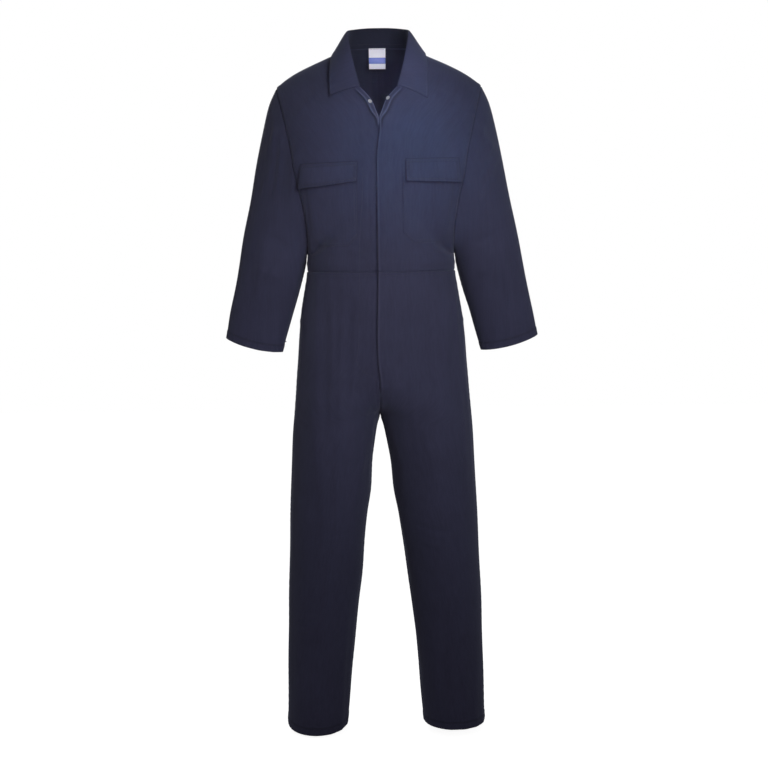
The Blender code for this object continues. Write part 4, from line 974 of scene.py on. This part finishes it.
pocketForm = {
    "right": {"side": -1, "flapInner": 47, "flapOuter": 173, "flapTop": -253, "flapBottom": -307,
              "skew": 4, "footSkew": 12.5, "bottom": -434},
    "left": {"side": 1, "flapInner": 55, "flapOuter": 174, "flapTop": -243, "flapBottom": -296,
             "skew": -2, "footSkew": 1, "bottom": -428},
    "bagInner": 49, "bagOuter": 166, "narrowing": 15, "corner": 22, "topBelow": 14, "bagGap": 0.5, "bagCloth": 1.1,
    "sag": 1.5, "flapGap": 2.6, "flapCloth": 2.2, "lie": 0.3, "curl": 5.6, "rows": (2.0, 7.5),
}


def addBag(name, form, tree):
    # cut lower corners, its outer side slants in
    side, inner = form["side"], pocketForm["bagInner"]
    width = pocketForm["bagOuter"] - pocketForm["narrowing"] - inner
    share = np.concatenate([[0, 0.008, 0.018], np.linspace(0.04, 0.96, 34), [0.982, 0.992, 1]])
    t = np.concatenate([np.linspace(0, 0.955, 40), [0.975, 0.988, 1]])[:, None]
    bagX = inner + (width + pocketForm["narrowing"] * (1 - t)) * share
    bottom = form["bottom"] + np.maximum(0, pocketForm["corner"] - np.minimum(share, 1 - share) * width)
    top = form["flapTop"] - pocketForm["topBelow"]
    hits, normals = laidOn(tree, side * bagX, top + (bottom - top) * t)
    sag = pocketForm["sag"] * np.sin(math.pi * share) * np.sin(math.pi * np.clip(t * 1.1, 0, 1))
    bag = softened(hits, 3) + normals * (pocketForm["bagGap"] + pocketForm["bagCloth"] + sag)[..., None]
    inside, outside, fromTop, fromFoot = edgeDistances(bag)
    rim = np.minimum(np.minimum(inside, outside), fromFoot)
    bag -= normals * (0.6 * hump(rim, 0.9) + 0.25 * hump(rim - 2, 0.7))[..., None]
    bag = keepClear(tree, bag, pocketForm["bagGap"] + pocketForm["bagCloth"] * 0.6)
    # painted shade along the bag's outline
    addCloth("pocket_bag_" + name, bag, side < 0, [navyTwill],
             (side * inside, -fromTop), pocketForm["bagCloth"], wearAndPaintedLight=-0.25 * hump(rim - 0.6, 1.6))
    for at in pocketForm["rows"]:
        lines = [lineAcross(bag, normals, distance, at, 2, -6) for distance in (inside, outside)]
        stitchLines["stitching_pockets"] += lines + [lineAlong(bag, normals, fromFoot, at, 2, -2)]


def addFlap(name, form, tree):
    # two layers, its lower edge stands off
    side, cloth = form["side"], pocketForm["flapCloth"] + pocketForm["lie"]
    share = np.concatenate([[0, 0.006, 0.015], np.linspace(0.035, 0.965, 36), [0.985, 0.994, 1]])
    t = np.concatenate([[0, 0.02, 0.05], np.linspace(0.1, 0.93, 16), [0.965, 0.985, 1]])[:, None]
    x = form["flapInner"] + (form["flapOuter"] - form["flapInner"]) * share
    slant = (form["skew"] * (1 - t) + form["footSkew"] * t) * (1 - share)
    zs = form["flapTop"] + (form["flapBottom"] - form["flapTop"]) * t + slant
    hits, normals = laidOn(tree, np.broadcast_to(side * x[None, :], zs.shape), zs)
    lift = pocketForm["flapGap"] * smoothStep(0.0, 0.3, t) + pocketForm["flapCloth"] + pocketForm["lie"]
    lift = lift + pocketForm["curl"] * t**2 * (1 + 0.5 * share[None, :] ** 2) + 0.7 * np.sin(share * 9.0 + t * 2) * t
    flap = softened(hits, 4) + normals * lift[..., None]
    inside, outside, fromTop, fromFoot = edgeDistances(flap)
    rim = np.minimum(np.minimum(inside, outside), np.minimum(fromFoot, fromTop))
    flap -= normals * (0.7 * hump(rim, 0.9) + 0.35 * hump(rim - 2, 0.7) + 0.6 * hump(rim - 7.5, 1.0))[..., None]
    flap = keepClear(tree, flap, cloth)
    # painted shade along the flap's outline and along its inner stitch row
    addCloth("pocket_flap_" + name, flap, side < 0,
             [navyTwillDouble], (side * inside, -fromTop), pocketForm["flapCloth"],
             wearAndPaintedLight=-0.55 * hump(rim - 0.6, 1.6) - 0.35 * hump(rim - 7.5, 1.3))
    for at in pocketForm["rows"]:
        lines = [lineAcross(flap, normals, distance, at, 2, -2) for distance in (inside, outside)]
        lines += [lineAlong(flap, normals, distance, at, 2, -2) for distance in (fromFoot, fromTop)]
        stitchLines["stitching_pockets"] += lines


for name in ("right", "left"):
    tree = skinTree(["front_bodice_" + name, "sleeve_" + name])
    addBag(name, pocketForm[name], tree)
    addFlap(name, pocketForm[name], tree)
print("pockets made")

# ---- collar: neck seam, roll line and leaf edge of one half, from the centre back to the front end
collarTable = (
    ((0, 64, 14), (0, 73, 62), (0, 84, -4)),
    ((22, 62.5, 13.6), (21, 71, 61.5), (32, 82, -5)),
    ((43, 54, 12), (40, 62, 59), (61, 71, -8)),
    ((60, 40, 10), (55, 46, 55), (82, 52, -9)),
    ((70, 24, 8), (64, 27, 51), (96, 29, -8)),
    ((74, 8, 6), (68, 6, 46), (102, 6, -4)),
    ((78, -14, -7), (67, -16, 34), (106, -22, -12)),
    ((75, -38, -28), (63, -44, 8), (108, -54, -36)),
    ((64, -65, -54), (56, -70, -30), (109, -80, -71)),
    ((45, -90, -82), (41, -97.5, -89), (106, -95, -111)),
)
collarForm = {
    "steps": 9, "stand": 12, "leaf": 22, "roll": 4.5, "gap": 3.2, "tipDropLeft": 8, "arch": 3, "cloth": 2.0,
    "wave": 0.8, "neckTuck": 0.8, "stitchIn": 6.0,
}
tree = skinTree([n for n in panels if "bodice" in n or "sleeve" in n])
keys = np.arange(len(collarTable))
at = np.linspace(0, keys[-1], (len(collarTable) - 1) * collarForm["steps"] + 1)
at = np.concatenate([at[:-1], [keys[-1] - 0.04, keys[-1] - 0.015, keys[-1]]])
seam, roll, edge = (along(keys, [row[k] for row in collarTable], at) for k in range(3))
halves = []
for side in (-1, 1):
    flip = np.array([side, 1, 1])
    a, f, e = seam * flip, roll * flip, edge * flip
    lower = collarForm["tipDropLeft"] if side > 0 else 0
    e[:, 2] -= lower * smoothStep(keys[-3], keys[-1], at)
    out = unit((e - a) * np.array([1, 1, 0.3]))
    rise = f - a
    radius = np.minimum(collarForm["roll"], 0.5 * np.linalg.norm(rise, axis=-1, keepdims=True))
    standT = np.tile(np.linspace(0, 1, collarForm["stand"] + 1), (len(at), 1))
    leafT = np.tile(np.concatenate([np.linspace(0, 0.965, collarForm["leaf"])[1:], [0.982, 0.993, 1]]), (len(at), 1))
    stand = bezier(a[:, None], (a + 0.4 * rise)[:, None], (f - radius * out)[:, None], f[:, None], standT)
    fall = e - f
    leaf = bezier(f[:, None], (f + 1.6 * radius * out)[:, None], (e - 0.35 * fall)[:, None], e[:, None], leafT)
    leaf[..., 2] += collarForm["arch"] * np.sin(math.pi * leafT) * smoothStep(keys[-3], keys[-1], at)[:, None]
    for index in np.ndindex(leaf.shape[:2]):
        point = Vector(leaf[index])
        place, normal, _, _ = tree.find_nearest(point)
        if (point - place).dot(normal) < collarForm["gap"] + collarForm["cloth"]:
            leaf[index] = place + normal * (collarForm["gap"] + collarForm["cloth"])
    stand[:, 0] += collarForm["neckTuck"] * unit(stand[:, 1] - stand[:, 0])
    halves.append(np.concatenate([stand, leaf], axis=1))
collar = np.concatenate([halves[0][:0:-1], halves[1]], axis=0)
collar = np.concatenate([collar[:, :1], softened(collar, 2)[:, 1:]], 1)
columns, toLeafEdge, alongRun, _ = edgeDistances(collar)
toEnd = np.minimum(alongRun, alongRun[-1] - alongRun)
normals = unit(np.cross(np.gradient(collar, axis=0), np.gradient(collar, axis=1)))
isLeaf = (np.arange(collar.shape[1]) > collarForm["stand"] + 4)[None, :]
rim = np.where(isLeaf, np.minimum(toLeafEdge, toEnd), toEnd)
swell = collarForm["wave"] * np.sin(alongRun / 34 + 0.8) * np.clip(1 - toLeafEdge / 50, 0, 1)
collar = collar + normals * (swell - 0.7 * hump(rim, 0.9) - 0.3 * hump(rim - 6, 0.8))[..., None]
stands = np.zeros((collar.shape[0] - 1, collar.shape[1] - 1))
stands[:, :collarForm["stand"]] = 1
# painted shadow along the leaf's edge, with a painted highlight line just inside it
shade = (-0.6 * hump(rim - 0.4, 1.8) + 0.25 * hump(rim - 4, 1.2)) * isLeaf
addCloth("collar", collar, False,
         [navyTwillDouble, navyTwillReverse], (alongRun, columns), collarForm["cloth"], wearAndPaintedLight=shade, bands=stands)
ways = unit(np.cross(np.gradient(collar, axis=0), np.gradient(collar, axis=1)))
lines = [lineAcross(collar, ways, toLeafEdge, collarForm["stitchIn"], 5, -5)]
half = collarForm["stand"] + 3
for where in (alongRun, alongRun[-1] - alongRun):
    lines.append(lineAlong(collar[:, half:], ways[:, half:], where[:, half:], collarForm["stitchIn"], 1, -3))
stitchLines["stitching_collar"] += lines + [(collar[4:-4, 2], ways[4:-4, 2])]
print("collar made")

# ---- neck label: a folded satin ribbon sewn in at its top, white with a plain blue band
labelForm = {
    "width": 38, "middle": -2.8, "top": 14, "height": 46.5, "y": 57.3, "bow": 2.2, "cloth": 0.5,
    "bandTop": 0.44, "bandFoot": 0.75,
}
t = np.linspace(0, 1, 41)[:, None]
x = np.linspace(-0.5, 0.5, 25)[None, :] * labelForm["width"]
x = labelForm["middle"] + x * (1 - 0.02 * t)
y = labelForm["y"] - labelForm["bow"] * np.sin(t * math.pi * 0.9) + 0.5 * np.sin(x / 9) * t
label = stack(x, y, labelForm["top"] - labelForm["height"] * t + 0 * x)
middle = (t[:-1, 0] + t[1:, 0]) / 2
bands = ((middle > labelForm["bandTop"]) & (middle < labelForm["bandFoot"])).astype(int)
bands = np.repeat(bands[:, None], label.shape[1] - 1, axis=1)
addCloth("neck_label", label, False, [whiteSatin, blueSatin],
         (x + 0 * t, -labelForm["height"] * t + 0 * x), labelForm["cloth"], bands=bands)
seam = label[2, 1:-1]
stitchLines["stitching_collar"].append((seam + [0, -0.1, 0], np.broadcast_to([0.0, -1.0, 0.0], seam.shape)))

# ---- press studs: stamped cap with a rolled rim and a dished middle
studForm = {
    "right": (-20.0, -96, -120), "left": (21.0, -96, -114), "radius": 4.4, "height": 1.7, "rim": 0.8,
    "ring": 0.7, "dome": 0.76, "sunk": -0.5, "raised": 0.45, "crown": 0.25, "bevel": 0.22, "off": 0.15,
}
for name in ("right", "left"):
    place, normal, _, _ = skinTree(["front_bodice_" + name]).find_nearest(studForm[name])
    bpy.ops.object.select_all(action="DESELECT")
    bpy.ops.mesh.primitive_cylinder_add(vertices=40, radius=studForm["radius"] * mm, depth=studForm["height"] * mm)
    stud = bpy.context.object
    stud.name = "press_stud_" + name + "_cap"
    bpy.ops.object.mode_set(mode="EDIT")
    bpy.ops.mesh.select_mode(type="FACE")
    bpy.ops.mesh.select_all(action="DESELECT")
    bpy.ops.object.mode_set(mode="OBJECT")
    for face in stud.data.polygons:
        face.select = face.normal.z > 0.9
    bpy.ops.object.mode_set(mode="EDIT")
    for inset, shift in (("rim", "sunk"), ("ring", None), ("dome", "raised"), ("dome", "crown")):
        bpy.ops.mesh.inset(thickness=studForm[inset] * mm)
        if shift:
            bpy.ops.transform.translate(value=(0, 0, studForm[shift] * mm))
    bpy.ops.object.mode_set(mode="OBJECT")
    bevel = stud.modifiers.new("rim", "BEVEL")
    bevel.width, bevel.segments = studForm["bevel"] * mm, 3
    bevel.limit_method, bevel.angle_limit = "ANGLE", math.radians(25)
    bpy.ops.object.modifier_apply(modifier="rim")
    stud.data.materials.append(nickel)
    bpy.ops.object.shade_smooth_by_angle(angle=math.radians(40))
    seat = place + normal * (studForm["height"] / 2 + studForm["off"])
    stud.data.transform(Matrix.Translation(seat * mm) @ normal.to_track_quat("Z", "Y").to_matrix().to_4x4())
    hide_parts("press_stud_" + name)
    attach(stud, "root")
print("label and studs made")

# ---- topstitching: each stitch is a small raised lozenge of thread
stitchForm = {"pitch": 3.3, "length": 2.7, "width": 0.75, "height": 0.32, "edge": 3.0, "placket": 47, "flyFoot": 45}


def addLine(group, name, distance, at, first=0, last=None):
    panel = panels[name]
    line = lineAcross(panel["surface"], panel["surfaceNormals"], np.abs(panel[distance]), at, first, last)
    stitchLines["stitching_" + group].append(line)


def addRow(group, name, distance, at, first=1, last=-1):
    panel = panels[name]
    line = lineAlong(panel["surface"], panel["surfaceNormals"], panel[distance], at, first, last)
    stitchLines["stitching_" + group].append(line)


underarm, crossing, opened = (int(np.searchsorted(bodiceKeys, row)) for row in (cut["armholeRows"], 7.3, 4.6))
flyEnd, crotch = (int(np.searchsorted(legKeys, cut[row])) for row in ("flyEndRow", "crotchRow"))
for side in ("right", "left"):
    legs = ["front_leg_" + side, "back_leg_" + side]
    for at in seams["rows"]:
        addLine("bodice", "front_bodice_" + side, "fromOut", at, 1, underarm)
        addLine("legs", legs[1], "fromOut", at, 2, -1)
        addLine("legs", legs[1], "fromIn", at, 2 if side == "left" else crotch + 2, -1)
        for leg in legs:
            addRow("legs", leg, "down", at)
        addLine("sleeves", "sleeve_" + side, "fromOut", at, 2, -1)
    for leg in legs:
        addRow("legs", leg, "up", seams["hemRow"])
    addRow("sleeves", "sleeve_" + side, "up", seams["hemRow"], 0, None)
    addLine("bodice", "front_bodice_" + side, "fromIn", stitchForm["edge"], opened, -1)
backPanel = panels["back_bodice"]
middleColumn = backPanel["points"].shape[1] // 2
for at in seams["rows"]:
    addLine("legs", "front_leg_left", "fromIn", at, flyEnd + 2, crotch)
    for part in (slice(0, middleColumn), slice(middleColumn, None)):
        grid, ways, away = (backPanel[key][:, part] for key in ("surface", "surfaceNormals", "fromOut"))
        stitchLines["stitching_bodice"].append(lineAcross(grid, ways, away, at, 1, -1))
addLine("legs", "front_leg_left", "fromIn", stitchForm["edge"], 1, flyEnd)
# the line that holds the hidden placket, and its curve into the fly's foot
addLine("bodice", "front_bodice_right", "fromIn", cut["underlapRight"] + stitchForm["placket"], crossing + 14, -1)
fly = panels["front_leg_right"]
inwards = 1 - smoothStep(3.6, cut["flyEndRow"], legKeys) ** 2
flyAt = 2 + (cut["underlapRight"] + stitchForm["flyFoot"]) * inwards
flyLine = [lineAcross(fly["surface"], fly["surfaceNormals"], fly["fromIn"], flyAt[r], r, r + 1)
           for r in range(1, flyEnd)]
stitchLines["stitching_legs"].append(tuple(np.concatenate(parts) for parts in zip(*flyLine)))


def addStitches(name, lines):
    centres, ways, runs = [], [], []
    pitch = stitchForm["pitch"]
    for line, normals in lines:
        s = runAlong(line, 0)
        if s[-1] < 2 * pitch:
            continue
        at = np.arange(pitch / 2, s[-1] - pitch / 2, pitch)
        spot = readAt(at, s, line)
        centres.append(spot)
        ways.append(unit(readAt(at, s, normals)))
        runs.append(unit(readAt(at + 0.5, s, line) - spot))
    centre, up, run = np.concatenate(centres), np.concatenate(ways), np.concatenate(runs)
    run = unit(run - up * (run * up).sum(-1, keepdims=True))
    side = np.cross(up, run)
    half, wide, high = stitchForm["length"] / 2, stitchForm["width"] / 2, stitchForm["height"]
    corners = [centre - half * run, centre + half * run, centre + wide * side + 0.1 * up, centre + high * up,
               centre - wide * side + 0.1 * up, centre - 0.25 * high * up]
    points = np.stack(corners, 1).reshape(-1, 3)
    one = np.array([(0, 3, 2), (0, 4, 3), (0, 5, 4), (0, 2, 5), (1, 2, 3), (1, 3, 4), (1, 4, 5), (1, 5, 2)])
    faces = (one[None] + 6 * np.arange(len(centre))[:, None, None]).reshape(-1, 3)
    mesh = bpy.data.meshes.new(name)
    mesh.from_pydata((points * mm).tolist(), [], faces.tolist())
    mesh.materials.append(navyThread)
    mesh.validate()
    mesh.shade_smooth()
    ob = bpy.data.objects.new(name, mesh)
    bpy.context.scene.collection.objects.link(ob)
    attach(ob, "root")
    return len(centre)


total = 0
for name, lines in stitchLines.items():
    total += addStitches(name, lines)
print("stitches made:", total)

# ---- studio: pale floor, soft light from the upper right front, white surround
studio = {
    "floorZ": -1562, "floorSize": 12.0, "floorGlow": 0.93, "around": 0.188, "aroundColour": (1.00, 0.97, 0.95, 1),
}
lamps = (  # name, place, aim, size, watts, colour, spread
    ("key", (0.95, -2.3, 0.05), (0.05, -0.1, -0.33), 0.9, 3.2, (0.96, 0.98, 1.0), 53),
    ("chest", (0.95, -2.3, 0.3), (0.07, -0.12, -0.225), 0.2, 0.13, (0.45, 0.78, 1.0), 10),
    ("fill", (-1.9, -2.3, 0.2), (0.0, 0.0, -0.7), 1.8, 1.15, (1.0, 0.72, 0.5), 180),
    ("neck", (0.0, -2.6, 0.3), (0.045, 0.05, -0.075), 0.15, 0.06, (0.8, 0.85, 1.0), 4.5),
    ("waist", (0.1, -2.6, -0.2), (-0.02, -0.12, -0.42), 0.6, 0.3, (1.0, 0.84, 0.74), 24),
    ("legs", (0.35, -2.6, -1.0), (0.0, 0.0, -1.1), 1.2, 0.47, (1.0, 0.68, 0.58), 60),
    ("back", (-0.7, 2.6, 0.5), (0.0, 0.1, -0.6), 1.2, 5.0, (0.95, 0.98, 1.0), 60),
)


def addLight(name, place, aim, size, power, colour, spread):
    data = bpy.data.lights.new(name, "AREA")
    data.energy, data.size, data.color, data.spread = power, size, colour, math.radians(spread)
    ob = bpy.data.objects.new(name, data)
    ob.location = place
    ob.rotation_euler = (Vector(aim) - Vector(place)).to_track_quat("-Z", "Y").to_euler()
    bpy.context.scene.collection.objects.link(ob)


for lamp in lamps:
    addLight(*lamp)


def seenAs(tree, lighting, seen, output):
    # the camera sees one shader, and the suit is lit by another
    rays, pick = tree.nodes.new("ShaderNodeLightPath"), tree.nodes.new("ShaderNodeMixShader")
    for socket, source in enumerate((rays.outputs["Is Camera Ray"], lighting, seen)):
        tree.links.new(source, pick.inputs[socket])
    tree.links.new(pick.outputs[0], tree.nodes[output].inputs["Surface"])


bpy.ops.object.select_all(action="DESELECT")
bpy.ops.mesh.primitive_plane_add(size=studio["floorSize"], location=(0, 0, studio["floorZ"] * mm))
floor = bpy.context.object
floor.name = "studio_floor"
# matt white studio paint, lit so that it runs into the white surround
floorPaint, floorShader = newMaterial("whiteStudioPaint", {"Base Color": srgb("c8c8ca"), "Roughness": 0.9})
glow = node(floorPaint, "ShaderNodeEmission", {"Color": (1, 1, 1, 1), "Strength": studio["floorGlow"]})
both = node(floorPaint, "ShaderNodeAddShader", {}, {0: glow.outputs[0], 1: floorShader.outputs[0]})
seenAs(floorPaint.node_tree, floorShader.outputs[0], both.outputs[0], "Material Output")
floor.data.materials.append(floorPaint)

world = bpy.data.worlds.new("studio")
bpy.context.scene.world = world
world.use_nodes = True
sky, white = world.node_tree.nodes["Background"], world.node_tree.nodes.new("ShaderNodeBackground")
for shader, colour, strength in ((sky, studio["aroundColour"], studio["around"]), (white, (1, 1, 1, 1), 1.0)):
    shader.inputs["Color"].default_value, shader.inputs["Strength"].default_value = colour, strength
seenAs(world.node_tree, sky.outputs[0], white.outputs[0], "World Output")

cameraForm = {"place": (0.0037, -3.1, -0.419), "lens": 63.54, "down": 6.098, "roll": 0.0122}
data = bpy.data.cameras.new("camera")
data.lens, data.sensor_width = cameraForm["lens"], 36
camera = bpy.data.objects.new("camera", data)
camera.location = cameraForm["place"]
tilt = Matrix.Rotation(math.radians(90 - cameraForm["down"]), 3, "X") @ Matrix.Rotation(-cameraForm["roll"], 3, "Z")
camera.rotation_euler = tilt.to_euler()
bpy.context.scene.collection.objects.link(camera)
bpy.context.scene.camera = camera
bpy.context.scene.view_settings.view_transform = "Standard"
bpy.context.scene.view_settings.look = "None"
